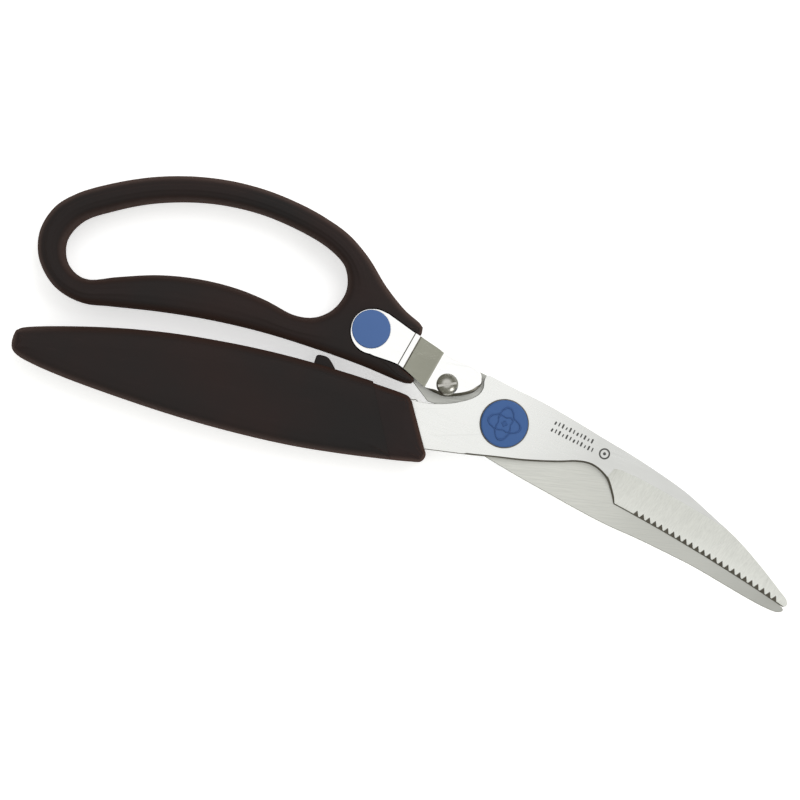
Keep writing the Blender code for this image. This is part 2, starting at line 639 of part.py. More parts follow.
def grip(plastic, steel):
    front = grip_shell("grip_front_shell", FRONT_BLADE_LOW, HANDLE_TOP, plastic)
    shape(front, grip_tang_room())
    back = grip_shell("grip_back_shell", BACK_BLADE_TOP, HANDLE_LOW, plastic)
    shape(back, bar_room(LOCK_LEFT - GAP, BAR_ROOM_FRONT))
    for index, place in enumerate(GRIP_PIN_PLACES, 1):
        rod(f"tang_pin_{index}", PIN_RADIUS, GRIP_PIN_LOW, GRIP_PIN_TOP, steel, SMALL_SIDES, place)


def collar(plastic):
    outline = joined(COLLAR_REAR, smooth(COLLAR_TOP_EDGE, 3), smooth(COLLAR_LOW_EDGE, 3))
    low = rounded_plate("grip_collar", [outline], MEETING_Z, HANDLE_LOW, GRIP_ROUND, plastic)
    top = rounded_plate("collar_top", [outline], MEETING_Z, HANDLE_TOP, GRIP_ROUND)
    shape(low, top, "UNION")
    shape(low, seam_block(1), "INTERSECT")
    shape(low, grip_tang_room())
    shape(low, bar_room(COLLAR_REAR[0][0], BAR_ROOM_FRONT))
    return low


def lock(plastic, steel):
    slide_axis = bpy.data.objects.new("lock_slide_axis", None)
    slide_axis.location = Vector((BAR_NOSE, BAR_Y, (BAR_LOW + BAR_TOP) / 2)) * MM
    bpy.context.collection.objects.link(slide_axis)
    dome = smooth([(LOCK_LEFT, 1.3), (-61.3, 2.0), (-59.6, 2.25), (-57.8, 1.9), (-56.4, 0.9),
                   (LOCK_RIGHT, -0.4)], 1)
    outline = joined(dome, [(LOCK_RIGHT, LOCK_FOOT), (LOCK_LEFT, LOCK_FOOT)])
    slider = plate("lock_slider", outline, LOCK_LOW, LOCK_TOP, plastic)
    shape(slider, bar_room(BAR_TAIL - GAP, 0))
    nose = [Vector((BAR_NOSE + BAR_NOSE_RADIUS * math.cos(a), BAR_Y + BAR_NOSE_RADIUS * math.sin(a)))
            for a in (math.radians(d) for d in range(-130, 131, 20))]
    tail = [(BAR_TAIL, BAR_Y + BAR_HALF_HEIGHT), (BAR_TAIL, BAR_Y - BAR_HALF_HEIGHT)]
    neck = BAR_NOSE - BAR_NOSE_RADIUS
    outline = joined(nose, [(neck, BAR_Y + BAR_HALF_HEIGHT)], tail, [(neck, BAR_Y - BAR_HALF_HEIGHT)])
    bar = plate("lock_bar", outline, BAR_LOW, BAR_TOP, steel)
    for piece in (slider, bar):
        piece.parent = slide_axis
        piece.matrix_parent_inverse = Matrix.Translation(-slide_axis.location)
    arch = smooth(DETENT_ARCH, 0.8)
    under = [point - Vector((0, DETENT_THICKNESS)) for point in reversed(arch)]
    plate("lock_detent_spring", joined(arch, under), DETENT_LOW, DETENT_TOP, steel)


def loop_outline():
    return [joined(smooth(LOOP_OUTER, 4), LOOP_MOUTH),
            counter_clockwise(smooth(FINGER_HOLE, 4, closed=True))[::-1]]


def loop(plastic):
    front = rounded_plate("loop_front_shell", loop_outline(), FRONT_BLADE_LOW, HANDLE_TOP,
                          LOOP_ROUND, plastic)
    bed = grown(strap_outline(), GAP + 0.05)
    shape(front, plate("strap_bed", bed, STRAP_BED, ABOVE))
    drill(front, LOOP_BOLT_PLACE, LOOP_BOLT_RADIUS + GAP, BELOW, ABOVE)
    drill(front, LOOP_PIN_PLACE, PIN_RADIUS + GAP, BELOW, LOOP_PIN_TOP + GAP)
    back = rounded_plate("loop_back_shell", loop_outline(), BACK_BLADE_TOP, HANDLE_LOW,
                         LOOP_ROUND, plastic)
    tang = grown(joined(smooth(BACK_TOP_EDGE[4:], 3), [(-20.0, 3.1)]), GAP)
    shape(back, plate("tang_room", tang, BACK_BLADE_LOW - GAP, BACK_BLADE_TOP + GAP))
    bore(back, LOOP_BOLT_PLACE, [
        (ABOVE, LOOP_BOLT_RADIUS + GAP), (LOOP_HEAD_TOP + GAP, LOOP_HEAD_RADIUS + GAP),
        (LOOP_CAP_TOP + GAP / 2, LOOP_CAP_RADIUS + GAP), (BELOW, 0),
    ], ROUND_SIDES)
    drill(back, LOOP_PIN_PLACE, PIN_RADIUS + GAP, LOOP_PIN_LOW - GAP, ABOVE)
    return [front, back]


def loop_fasteners(steel, blue):
    place = (LOOP_BOLT_PLACE[0], LOOP_BOLT_PLACE[1], 0)
    bolt_top = STRAP_TOP - GAP
    bolt = turned("loop_bolt", [
        (0, LOOP_SOCKET_LOW), (LOOP_SOCKET_RADIUS, LOOP_SOCKET_LOW),
        (LOOP_SOCKET_RADIUS, bolt_top), (LOOP_BOLT_RADIUS, bolt_top),
        (LOOP_BOLT_RADIUS, LOOP_HEAD_TOP), (LOOP_HEAD_RADIUS, LOOP_HEAD_TOP),
        (LOOP_HEAD_RADIUS, LOOP_HEAD_LOW + CHAMFER), (LOOP_HEAD_RADIUS - CHAMFER, LOOP_HEAD_LOW),
        (0, LOOP_HEAD_LOW),
    ], steel, place=place)
    low = STRAP_TOP + GAP
    cap = turned("loop_cap_front", [
        (0, low + 1.1), (4.8, low + 1.05), (5.6, low + 0.85), (LOOP_CAP_RADIUS, low + 0.5),
        (LOOP_CAP_RADIUS, low), (LOOP_STUD_RADIUS, low), (LOOP_STUD_RADIUS, LOOP_SOCKET_LOW + 0.5),
        (0, LOOP_SOCKET_LOW + 0.5),
    ], blue, ROUND_SIDES, place)
    back = turned("loop_cap_back", [
        (0, LOOP_CAP_TOP), (LOOP_CAP_RADIUS, LOOP_CAP_TOP), (LOOP_CAP_RADIUS, LOOP_CAP_LOW + 0.25),
        (LOOP_CAP_RADIUS - 0.25, LOOP_CAP_LOW), (0, LOOP_CAP_LOW),
    ], blue, ROUND_SIDES, place)
    pin = rod("loop_tang_pin", PIN_RADIUS, LOOP_PIN_LOW, LOOP_PIN_TOP, steel, SMALL_SIDES,
              LOOP_PIN_PLACE)
    return [bolt, cap, back, pin]


def strap_outline():
    """The strap seen from the front: a round end, then a band that widens at the screw."""
    centre = Vector(STRAP_END)
    arc = [centre + Vector((math.cos(a), math.sin(a))) * STRAP_END_RADIUS
           for a in (math.radians(d) for d in range(85, 281, 15))]
    lower = smooth([(-45.0, 6.95), (-38.0, 6.85), (-35.0, 6.3), (-30.5, 4.4), (-26.6, 2.8),
                    (-23.0, 2.3), (-20.5, 2.25), (-14.5, 4.6), (-11.4, 6.7), (-9.9, 9.2),
                    (-10.6, 11.5), (-12.8, 13.3), (-20.0, 14.3), (-23.5, 14.8)], 2.5)
    upper = smooth([(-23.5, 14.8), (-33.0, 17.3), (-40.0, 19.5), (-44.5, 20.9)], 5)
    return joined(arc, lower, upper)


def strap(steel):
    """A steel strip with a step: its side view is drawn along the strap, then cut to its outline."""
    tops = [(-20.0, STRAP_TOP), (STRAP_BEND_START, STRAP_TOP),
            (STRAP_SLOPE_START, STRAP_TOP - STRAP_BEND_DROP), (STRAP_SLOPE_END, STRAP_LOW_TOP),
            (60.0, STRAP_LOW_TOP)]
    profile = tops + [(u, z - STRAP_THICKNESS) for u, z in reversed(tops)]
    turn = Matrix.Rotation(STRAP_TURN, 2)
    sections = []
    for across in (-30.0, 30.0):
        places = [turn @ Vector((u, across)) + Vector(STRAP_END) for u, z in profile]
        sections.append([(p.x, p.y, z) for p, (u, z) in zip(places, profile)])
    body = plate("strap", strap_outline(), BELOW, ABOVE, steel)
    shape(body, lofted("strap_side_view", sections), "INTERSECT")
    drill(body, LOOP_BOLT_PLACE, LOOP_BOLT_RADIUS + GAP, BELOW, ABOVE)
    drill(body, SCREW_PLACE, SCREW_SHANK_RADIUS + GAP, BELOW, ABOVE)
    return body


def strap_fasteners(steel):
    place = (SCREW_PLACE[0], SCREW_PLACE[1], 0)
    seat = STRAP_LOW_TOP + GAP
    screw = turned("strap_screw", [
        (0, seat + 1.6), (1.2, seat + 1.5), (2.3, seat + 1.15), (3.05, seat + 0.6),
        (SCREW_HEAD_RADIUS, seat), (SCREW_SHANK_RADIUS, seat),
        (SCREW_SHANK_RADIUS, SCREW_FOOT + CHAMFER), (SCREW_SHANK_RADIUS - CHAMFER, SCREW_FOOT),
        (0, SCREW_FOOT),
    ], steel, SMALL_SIDES, place)
    half = SCREW_SLOT_WIDTH / 2
    slot = box("screw_slot", (-SCREW_HEAD_RADIUS - GAP, -half, seat + SCREW_SLOT_HEIGHT),
               (SCREW_HEAD_RADIUS + GAP, half, ABOVE))
    slot.location = Vector(place) * MM
    slot.rotation_euler.z = SCREW_SLOT_TURN
    bpy.context.view_layer.update()
    shape(screw, slot)
    hole = SCREW_SHANK_RADIUS + GAP
    spacer = turned("strap_spacer", [
        (hole, FRONT_BLADE_TOP), (SPACER_RADIUS, FRONT_BLADE_TOP),
        (SPACER_RADIUS, FRONT_BLADE_LOW), (hole, FRONT_BLADE_LOW),
    ], steel, SMALL_SIDES, place, closed=True)
    return [screw, spacer]


def shade(made, angle=math.radians(35)):
    made.data.shade_smooth()
    made.data.set_sharp_from_angle(angle=angle)


def build():
    clear_scene()
    plastic = material("dark_plastic", (0.026, 0.023, 0.022), 0.42, 0.0)
    blue = material("blue_plastic", (0.050, 0.135, 0.370), 0.38, 0.0)
    blade_steel = material("brushed_steel", (0.70, 0.70, 0.68), 0.30, 1.0)
    bright_steel = material("bright_steel", (0.78, 0.78, 0.76), 0.18, 1.0)
    spring_steel = material("spring_steel", (0.42, 0.42, 0.43), 0.35, 1.0)

    pivot_axis = bpy.data.objects.new("blade_pivot_axis", None)
    bpy.context.collection.objects.link(pivot_axis)

    front_blade(blade_steel)
    grip(plastic, bright_steel)
    collar(plastic)
    lock(plastic, spring_steel)
    pivot(bright_steel, blue)
    pivot_spring(spring_steel)

    swinging = [back_blade(blade_steel), strap(bright_steel)]
    swinging += loop(plastic)
    swinging += loop_fasteners(bright_steel, blue)
    swinging += strap_fasteners(bright_steel)
    for piece in swinging:
        piece.parent = pivot_axis
    for made in bpy.data.objects:
        if made.type == "MESH":
            shade(made)


build()
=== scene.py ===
"""The looks of the poultry shears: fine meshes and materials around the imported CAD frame.

Lengths are millimetres in the CAD frame, and meshes are built in metres. X runs to the blade
tips, Y to the finger loop and Z towards the camera, with the pivot axis on Z through the origin.
"""
from math import atan, atan2, copysign, cos, pi, radians, sin, sqrt

import bmesh
import bpy
from mathutils import Matrix, Vector
from mathutils.geometry import tessellate_polygon

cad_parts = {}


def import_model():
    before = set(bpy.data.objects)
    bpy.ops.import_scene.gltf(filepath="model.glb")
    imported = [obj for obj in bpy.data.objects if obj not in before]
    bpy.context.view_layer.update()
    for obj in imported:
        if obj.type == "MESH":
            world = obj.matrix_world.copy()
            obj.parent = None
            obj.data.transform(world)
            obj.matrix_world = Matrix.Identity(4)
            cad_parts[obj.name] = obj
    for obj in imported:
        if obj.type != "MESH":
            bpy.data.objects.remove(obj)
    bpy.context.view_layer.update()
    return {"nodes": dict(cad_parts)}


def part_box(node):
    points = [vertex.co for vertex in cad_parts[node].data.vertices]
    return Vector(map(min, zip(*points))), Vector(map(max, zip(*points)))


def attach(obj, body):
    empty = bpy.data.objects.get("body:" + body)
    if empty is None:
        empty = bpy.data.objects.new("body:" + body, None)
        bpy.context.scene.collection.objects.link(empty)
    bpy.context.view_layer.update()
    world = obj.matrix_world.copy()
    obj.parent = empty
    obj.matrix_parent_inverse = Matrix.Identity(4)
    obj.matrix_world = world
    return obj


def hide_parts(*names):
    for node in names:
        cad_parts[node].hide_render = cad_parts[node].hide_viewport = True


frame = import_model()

MM = 0.001


def low_mm(node):
    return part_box(node)[0] / MM


def high_mm(node):
    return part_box(node)[1] / MM


def centre_mm(node):
    return (low_mm(node) + high_mm(node)) / 2


def radius_mm(node):
    return (high_mm(node).x - low_mm(node).x) / 2


GRIP, LOOP, LOCK = "grip_body", "loop_body", "lock_body"

# Levels along Z, from the frame.
FRONT_LOW, FRONT_TOP = low_mm("front_blade").z, high_mm("front_blade").z
BACK_LOW, BACK_TOP = low_mm("back_blade").z, high_mm("back_blade").z
MEETING_Z = (FRONT_LOW + BACK_TOP) / 2
HANDLE_LOW, HANDLE_TOP = low_mm("loop_back_shell").z, high_mm("loop_front_shell").z
STRAP_TOP, STRAP_LOW = high_mm("strap").z, low_mm("strap").z
STRAP_THICKNESS = 2.0
STRAP_LOW_TOP = STRAP_LOW + STRAP_THICKNESS
STRAP_END = Vector((-47.4, 14.1))  # centre of the strap's round end
STRAP_END_RADIUS = 7.1
STRAP_TURN = radians(-11.1)  # direction of the strap away from that end
SEAM = 0.04  # half the hairline between two shells of a handle
COLLAR_SEAM = 0.015  # half the seam between the grip and its collar
CHAMFER = 0.12
HAIR = 0.12  # the hairline bevel where two shells meet
THROUGH_BLADES = (0, 12)
THROUGH_STRAP = (0, 20)

SCREW_PLACE = centre_mm("strap_screw")
LOOP_BOLT_PLACE = centre_mm("loop_bolt")
SPRING_POCKET_RADIUS = 6.4
SPRING_POCKET_DEPTH = 1.35
LEG_ROOM = (4.5, 8.3)  # from and to these radii there is room for a leg of the spring
PIVOT_HOLE_RADIUS = 3.85
PIVOT_STUD_RADIUS = 6.3
PIVOT_CAP_RADIUS = radius_mm("pivot_cap_front")
LOOP_CAP_RADIUS = radius_mm("loop_cap_front")
SCREW_RADIUS = radius_mm("strap_screw")

LOOP_OUTER = [
    (-33, 18.4), (-33.3, 20.2), (-34.6, 21.2), (-40, 23.45), (-48, 28.65), (-56, 35.4),
    (-64, 40.2), (-72, 42.75), (-80, 44.3), (-92, 45.2), (-104, 44.4), (-116, 41.85),
    (-128, 37.5), (-140, 31.1), (-148, 25.45), (-153, 19.6), (-155.1, 11.5),
    (-153.4, 4.2), (-149.4, -1), (-144, -4.55), (-136, -6), (-128, -4.35),
    (-112, -0.9), (-96, 1.65), (-80, 3.1), (-64, 3.45), (-48, 3.1), (-33, 2.15),
    (-31.3, 2.6), (-30.7, 3.5), (-31, 4.4),
]
LOOP_MOUTH = [(-31, 4.4), (-33, 5.6), (-35, 6.5), (-33.2, 17.6), (-33, 18.4)]
FINGER_HOLE = [
    (-144, 18.05), (-136, 24.2), (-124, 30.8), (-108, 36), (-92, 37.75),
    (-76, 36.2), (-68, 34), (-62.6, 30.9), (-60, 26.65), (-59.4, 22.5), (-61.5, 16.6),
    (-66, 12.6), (-72, 11.25), (-82, 12.8), (-92, 13.4), (-104, 12.4), (-116, 9.65),
    (-128, 5), (-136, 1.55), (-141, 2), (-145, 5), (-146.9, 11),
]
GRIP_EDGE = [
    (-28, -0.4), (-52, -0.5), (-62, -0.8), (-76, -1.75), (-92, -3.65),
    (-108, -6.35), (-124, -10.15), (-140, -15), (-148.4, -18), (-151, -19.2),
    (-152.3, -20.4), (-152.6, -22.2), (-152.4, -24.6), (-151.6, -26.4), (-149.6, -27.7),
    (-144, -28.8), (-132, -29.75), (-108, -30.2), (-92, -29.9), (-76, -28.95),
    (-60, -27.3), (-44, -24.65), (-28, -21.4),
]
COLLAR_REAR = [(-52, -26.3), (-52, -0.8)]
COLLAR_TOP_EDGE = [(-52, -0.8), (-42, -0.9), (-32, -1.1), (-30.6, -1.4), (-29.3, -2.5)]
COLLAR_LOW_EDGE = [
    (-21, -15.2), (-20.1, -16.4), (-20, -18), (-20.8, -19.4), (-24, -20.4),
    (-30, -21.8), (-52, -26.3),
]
SEAM_TOP, SEAM_LOW = (-42.4, -0.9), (-30, -21.8)

FRONT_SPINE = [
    (-9.1, 12.8), (0, 11.4), (10, 10), (20, 8), (30, 5.7), (40, 3.5), (50.7, 0.7),
    (60.3, -2.3), (70, -6.5), (80, -11.1), (90, -17), (98, -22.3), (100.5, -24),
    (101.2, -25.3), (101, -26.1), (100, -26.57),
]
BONE_NOTCH = [
    (40.2, -12.9), (38.7, -10.3), (35.7, -6.3), (33.3, -4.7), (31, -3.8), (28.7, -3.5),
    (25, -4.1), (20, -5.9), (10, -8.8), (0, -11), (-8, -12.8), (-20.5, -15.3),
]
GRIP_TANG = [
    (-20.5, -15.3), (-28, -17.2), (-48, -17.2), (-70, -18.2), (-90, -19.3),
    (-94, -18.6), (-95.5, -16.9), (-94, -15.2), (-90, -14.2), (-70, -12.6),
    (-48, -10.6), (-38, -7.8), (-32.5, -4), (-29.3, -2.2),
]
FRONT_SHOULDER = [
    (-29.3, -2.2), (-24, -1.4), (-20, -0.2), (-16, 1.6), (-12, 4.2), (-10.2, 6.2),
    (-9.6, 8.5), (-10.1, 11), (-9.7, 12.4), (-9.1, 12.8),
]
BACK_SPINE = [
    (-21, -5.9), (-12, -9.2), (-2, -11.7), (10, -14.3), (20, -16.2), (30, -18.1),
    (40, -19.7), (50, -20.7), (60, -22), (70, -23.5), (80, -25.6), (90, -27.7),
    (95, -28.5), (98.3, -28.75), (99.7, -28.5), (100.5, -27.9), (100.6, -27.3),
]
BACK_EDGE = [
    (100.6, -27.3), (100, -26.7), (98.5, -26), (95, -24.4), (80, -18), (60, -10.5),
    (40, -3.5), (25, 2.5), (12, 6.5),
]
BACK_GRIND = [(108, -30.8), (88, -21.7), (70, -14.3), (50, -7), (32, -0.4), (18, 4.9)]
BACK_TOP_EDGE = [
    (12, 6.5), (6, 9.4), (0, 11), (-8, 12.3), (-20, 13.8), (-24, 14.4),
    (-33, 16.5), (-42, 18.9), (-49, 20.2), (-53.6, 18.6), (-55.4, 14.3), (-53.2, 9.9),
    (-48, 8.5), (-38, 6.4), (-33, 4.6), (-30.6, 3.1),
]
LOCK_NOTCH = [
    (-24.65, -0.95), (-21.4, -0.95), (-20.9, -1.5), (-20.9, -3.1), (-21.4, -3.65),
    (-24.2, -3.65), (-23.6, -4.7), (-21, -5.9),
]

# Serrated edge of the front blade: it falls by EDGE_SLOPE at EDGE_X, and EDGE_BEND bends it down.
EDGE_START, EDGE_END = 40.2, 100.0
EDGE_X, EDGE_Y = 47.0, -14.1
EDGE_SLOPE, EDGE_BEND = 0.185, 0.00095
TOOTH_COUNT = 24
FIRST_TOOTH = 47.8
TOOTH_PITCH = 2.13
TOOTH_DEPTH = 1.72
TOOTH_HALF_WIDTH = 1.0
TOOTH_LEAN = 0.28  # how far a notch's top leans towards the handles
TOOTH_POINT = 0.07  # half the width of a notch's inner end
TOOTH_FLARE = 0.03  # a notch is wider by this at its top
TOOTH_OVERRUN = 0.4  # the tool for the notches starts this far outside the edge
NOTCH_FLOOR = 0.08  # the notches stop this far above the blade's back
NOTCH_TOOL_TOP = 1.4
RAMP_START = 34.9  # the broad bevel of the bone notch starts at this X
RAMP_WIDTH, RAMP_SHARE = 0.55, 0.75  # its width, and its most as a share of the blade's height
LIP = 0.34  # the small second bevel along the serrated edge
GRIND_WIDTH = 10.8
EDGE_THICKNESS = 0.4
HOLLOW = 1.12  # 1 is a flat grind; above it the ground face is hollow


# ---------------- outlines

def smooth(points, step, closed=False):
    """Points about step apart on a smooth curve through the given ones."""
    points = [Vector(point) for point in points]
    count = len(points)
    result = []
    for index in range(count if closed else count - 1):
        start, end = points[index], points[(index + 1) % count]
        before = points[index - 1] if closed or index else start * 2 - end
        after = points[(index + 2) % count] if closed or index + 2 < count else end * 2 - start
        gaps = [(b - a).length ** 0.5 for a, b in ((before, start), (start, end), (end, after))]
        leave = (start - before) / gaps[0] - (end - before) / (gaps[0] + gaps[1])
        leave = (leave + (end - start) / gaps[1]) * gaps[1]
        arrive = (end - start) / gaps[1] - (after - start) / (gaps[1] + gaps[2])
        arrive = (arrive + (after - end) / gaps[2]) * gaps[1]
        pieces = max(1, round((end - start).length / step))
        for piece in range(pieces):
            t = piece / pieces
            result.append(
                start * (2 * t ** 3 - 3 * t ** 2 + 1) + leave * (t ** 3 - 2 * t ** 2 + t)
                + end * (3 * t ** 2 - 2 * t ** 3) + arrive * (t ** 3 - t ** 2)
            )
    if not closed:
        result.append(points[-1])
    return result


def straight(points, step):
    """Points about step apart on straight runs between the given ones."""
    points = [Vector(point) for point in points]
    result = []
    for start, end in zip(points, points[1:]):
        pieces = max(1, round((end - start).length / step))
        result += [start.lerp(end, piece / pieces) for piece in range(pieces)]
    return result + [points[-1]]


def joined(*stretches):
    """One closed outline, counter-clockwise, from stretches that meet end to end."""
    outline = []
    for stretch in stretches:
        for point in stretch:
            point = Vector(point)
            if not outline or (point - outline[-1]).length > 0.01:
                outline.append(point)
    if (outline[0] - outline[-1]).length < 0.01:
        outline.pop()
    return counter_clockwise(outline)


def counter_clockwise(outline):
    twice_area = sum(a.cross(b) for a, b in zip(outline, outline[1:] + outline[:1]))
    return outline if twice_area > 0 else outline[::-1]


def left_normals(outline):
    normals = []
    for index, point in enumerate(outline):
        arriving = (point - outline[index - 1]).normalized()
        leaving = (outline[(index + 1) % len(outline)] - point).normalized()
        along = (arriving + leaving).normalized()
        normals.append(Vector((-along.y, along.x)))
    return normals


def grown(outline, distance):
    """The outline moved outwards, with its corners kept."""
    result = []
    for index, (point, normal) in enumerate(zip(outline, left_normals(outline))):
        edge = (point - outline[index - 1]).normalized()
        half_turn = max(0.5, Vector((-edge.y, edge.x)).dot(normal))
        result.append(point - normal * (distance / half_turn))
    return result


def ray(angle, reach=1):
    return Vector((reach * cos(angle), reach * sin(angle)))


def circle(centre, radius, sides=96):
    turn = 2 * pi / sides
    return [
        Vector((centre[0] + radius * cos(i * turn), centre[1] + radius * sin(i * turn)))
        for i in range(sides)
    ]


INSET_SLOPE = 0.4  # how fast an inset may change along its outline


def insets(loops, width, share=0.7):
    """How far each point of the loops can move inwards, at most width, without folding."""
    points = [point for loop in loops for point in loop]
    normals = [normal for loop in loops for normal in left_normals(loop)]
    rooms = []
    for point, normal in zip(points, normals):
        room = width / share
        px, py, nx, ny = point.x, point.y, normal.x, normal.y
        for other in points:
            dx, dy = other.x - px, other.y - py
            reach = dx * nx + dy * ny
            if reach > 1e-6:
                room = min(room, (dx * dx + dy * dy) / (2 * reach))
        rooms.append(share * room)
    start = 0
    result = []
    for loop in loops:
        depths = rooms[start:start + len(loop)]
        start += len(loop)
        for _ in range(3):
            for i in list(range(len(loop))) + list(range(len(loop)))[::-1]:
                after = (i + 1) % len(loop)
                depths[i] = min(
                    depths[i],
                    depths[i - 1] + INSET_SLOPE * (loop[i] - loop[i - 1]).length,
                    depths[after] + INSET_SLOPE * (loop[after] - loop[i]).length,
                )
        result.append(depths)
    return result


# ---------------- meshes

def linked(name, data):
    """A new object with this data, in the scene."""
    made = bpy.data.objects.new(name, data)
    bpy.context.scene.collection.objects.link(made)
    return made


def meshed(name, bm):
    mesh = bpy.data.meshes.new(name)
    bm.to_mesh(mesh)
    bm.free()
    return linked(name, mesh)


def to_object(name, bm):
    bmesh.ops.remove_doubles(bm, verts=bm.verts, dist=1e-4)
    bmesh.ops.recalc_face_normals(bm, faces=bm.faces)
    bmesh.ops.scale(bm, vec=(MM, MM, MM), verts=bm.verts)
    return meshed(name, bm)


def add_rings(bm, rings):
    made = [[bm.verts.new(point) for point in ring] for ring in rings]
    for low, high in zip(made, made[1:]):
        for i in range(len(low)):
            after = (i + 1) % len(low)
            bm.faces.new((low[i], low[after], high[after], high[i]))
    return made


def add_cap(bm, loops):
    flat = [vertex for loop in loops for vertex in loop]
    for triangle in tessellate_polygon([[vertex.co for vertex in loop] for loop in loops]):
        bm.faces.new([flat[i] for i in triangle])


def layered(name, loops, levels):
    """A solid from loops and (z, insets) levels, where insets holds one list for each loop."""
    bm = bmesh.new()
    walls = []
    for index, loop in enumerate(loops):
        normals = left_normals(loop)
        rings = []
        for z, depths in levels:
            rings.append([(p.x + n.x * d, p.y + n.y * d, z)
                          for p, n, d in zip(loop, normals, depths[index])])
        walls.append(add_rings(bm, rings))
    add_cap(bm, [wall[0] for wall in walls])
    add_cap(bm, [wall[-1] for wall in walls])
    return to_object(name, bm)


def plate(name, loops, low, top, chamfer=CHAMFER, foot=None, share=None):
    """A flat plate with small bevels: chamfer on its top rim, and foot, or else chamfer, on its low
    rim; share(point, inwards) scales them along the outline, and chamfer 0 makes a cutter."""
    none = [[0.0] * len(loop) for loop in loops]
    if not chamfer:
        return layered(name, loops, [(low, none), (top, none)])
    levels = []
    for width, z, up in ((chamfer if foot is None else foot, low, 1), (chamfer, top, -1)):
        inner = insets(loops, width * 1.5)
        if share:
            inner = [[d * share(*spot) for d, spot in zip(depths, zip(loop, left_normals(loop)))]
                     for depths, loop in zip(inner, loops)]
        rim = [[d / 1.5 for d in depths] for depths in inner]
        round_part = [[0.3 * d for d in depths] for depths in rim]
        rings = [(z, inner), (z, rim), (z + up * 0.3 * width, round_part), (z + up * width, none)]
        levels += rings if up > 0 else rings[::-1]
    return layered(name, loops, levels)


CROWN = 0.3  # how far a moulded face rises from its rim
CROWN_WIDTH = 3.0
CROWN_SHARE = 0.86
RIM_STEPS = 9


def moulded(name, loops, flat_z, round_z, width, height):
    """A moulded shell: a hairline bevel at flat_z, a rounded rim and a slightly crowned face."""
    depths = insets(loops, width)
    deep = insets(loops, width + CROWN_WIDTH, CROWN_SHARE)
    deep = [[max(a, b) for a, b in zip(*pair)] for pair in zip(depths, deep)]
    none = [[0.0] * len(loop) for loop in loops]
    hair = [[HAIR] * len(loop) for loop in loops]
    up = copysign(1, round_z - flat_z)
    rim_z = round_z - up * CROWN
    side_z = rim_z - up * height
    levels = [(flat_z, hair), (flat_z + up * HAIR, none)]
    for step in range(RIM_STEPS + 1):
        angle = pi / 2 * step / RIM_STEPS
        scaled = [[d * (1 - cos(angle)) for d in loop] for loop in depths]
        levels.append((side_z + (rim_z - side_z) * sin(angle), scaled))
    for part in (0.35, 0.7, 1.0):
        mixed = [[a + (b - a) * part for a, b in zip(*pair)] for pair in zip(depths, deep)]
        levels.append((rim_z + up * CROWN * sin(pi / 2 * part), mixed))
    levels.append((round_z, [[d * 1.05 for d in loop] for loop in deep]))
    return layered(name, loops, levels)


def turned(name, profile, sides=96, place=(0, 0), closed=False):
    bm = bmesh.new()
    vertices = [bm.verts.new((radius, 0, z)) for radius, z in profile]
    pairs = list(zip(vertices, vertices[1:]))
    if closed:
        pairs.append((vertices[-1], vertices[0]))
    edges = [bm.edges.new(pair) for pair in pairs]
    bmesh.ops.spin(
        bm, geom=vertices + edges, axis=(0, 0, 1), cent=(0, 0, 0), angle=2 * pi,
        steps=sides, use_merge=True,
    )
    bmesh.ops.translate(bm, vec=(place[0], place[1], 0), verts=bm.verts)
    return to_object(name, bm)


def domed(rim_radius, rim_z, rise, edge, low_z):
    """Profile of a shallow dome with a rounded rim, from its top on the axis to its rim at low_z."""
    steps = 10
    flat = rim_radius - edge
    profile = [(flat * i / steps, rim_z + rise * (1 - (i / steps) ** 2)) for i in range(steps)]
    for i in range(steps + 1):
        angle = pi / 2 * i / steps
        profile.append((flat + edge * sin(angle), rim_z - edge * (1 - cos(angle))))
    profile.append((rim_radius, low_z))
    return profile


def box(name, corner, far_corner):
    outline = [Vector(corner[:2]), Vector((far_corner[0], corner[1])),
               Vector(far_corner[:2]), Vector((corner[0], far_corner[1]))]
    return plate(name, [outline], corner[2], far_corner[2], 0)


def lofted(name, sections):
    bm = bmesh.new()
    made = add_rings(bm, sections)
    add_cap(bm, [made[0]])
    add_cap(bm, [made[-1]])
    return to_object(name, bm)


def shape(target, tool, operation="DIFFERENCE"):
    """Cuts the tool out of the target, or keeps what both share, and removes the tool."""
    modifier = target.modifiers.new("shape", "BOOLEAN")
    modifier.operation = operation
    modifier.solver = "EXACT"
    modifier.object = tool
    apply_modifiers(target)
    bpy.data.objects.remove(tool)


def apply_modifiers(target):
    depsgraph = bpy.context.evaluated_depsgraph_get()
    depsgraph.update()
    mesh = bpy.data.meshes.new_from_object(target.evaluated_get(depsgraph))
    target.modifiers.clear()
    target.data = mesh


def drill(target, place, radius, low, top, sides=64):
    shape(target, plate("drill", [circle(place, radius, sides)], low, top, 0))


def seam_block(side):
    """All that lies on one side of the seam between the grip and its collar."""
    far = 200
    start, end = Vector(SEAM_TOP), Vector(SEAM_LOW)
    along = (end - start).normalized()
    out = Vector((-along.y, along.x)) * side
    first = start - along * far + out * COLLAR_SEAM
    second = end + along * far + out * COLLAR_SEAM
    outline = counter_clockwise([first, second, second + out * far, first + out * far])
    return plate("seam_block", [outline], HANDLE_LOW - 5, HANDLE_TOP + 5, 0)


def place_piece(made, body, nodes, looks, angle=32):
    """Shades a finished piece, gives it its looks, ties it to its body and hides the CAD nodes it
    replaces.
    """
    made.data.materials.clear()
    for look in looks if isinstance(looks, list) else [looks]:
        made.data.materials.append(look)
    made.data.shade_smooth()
    made.data.set_sharp_from_angle(angle=radians(angle))
    if nodes:
        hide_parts(*nodes)
    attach(made, body)
    return made


# ---------------- materials

def put(node, **values):
    """Sets constants on a node's sockets, with _ for a space in a socket's name."""
    for name, value in values.items():
        node.inputs[name.replace("_", " ")].default_value = value


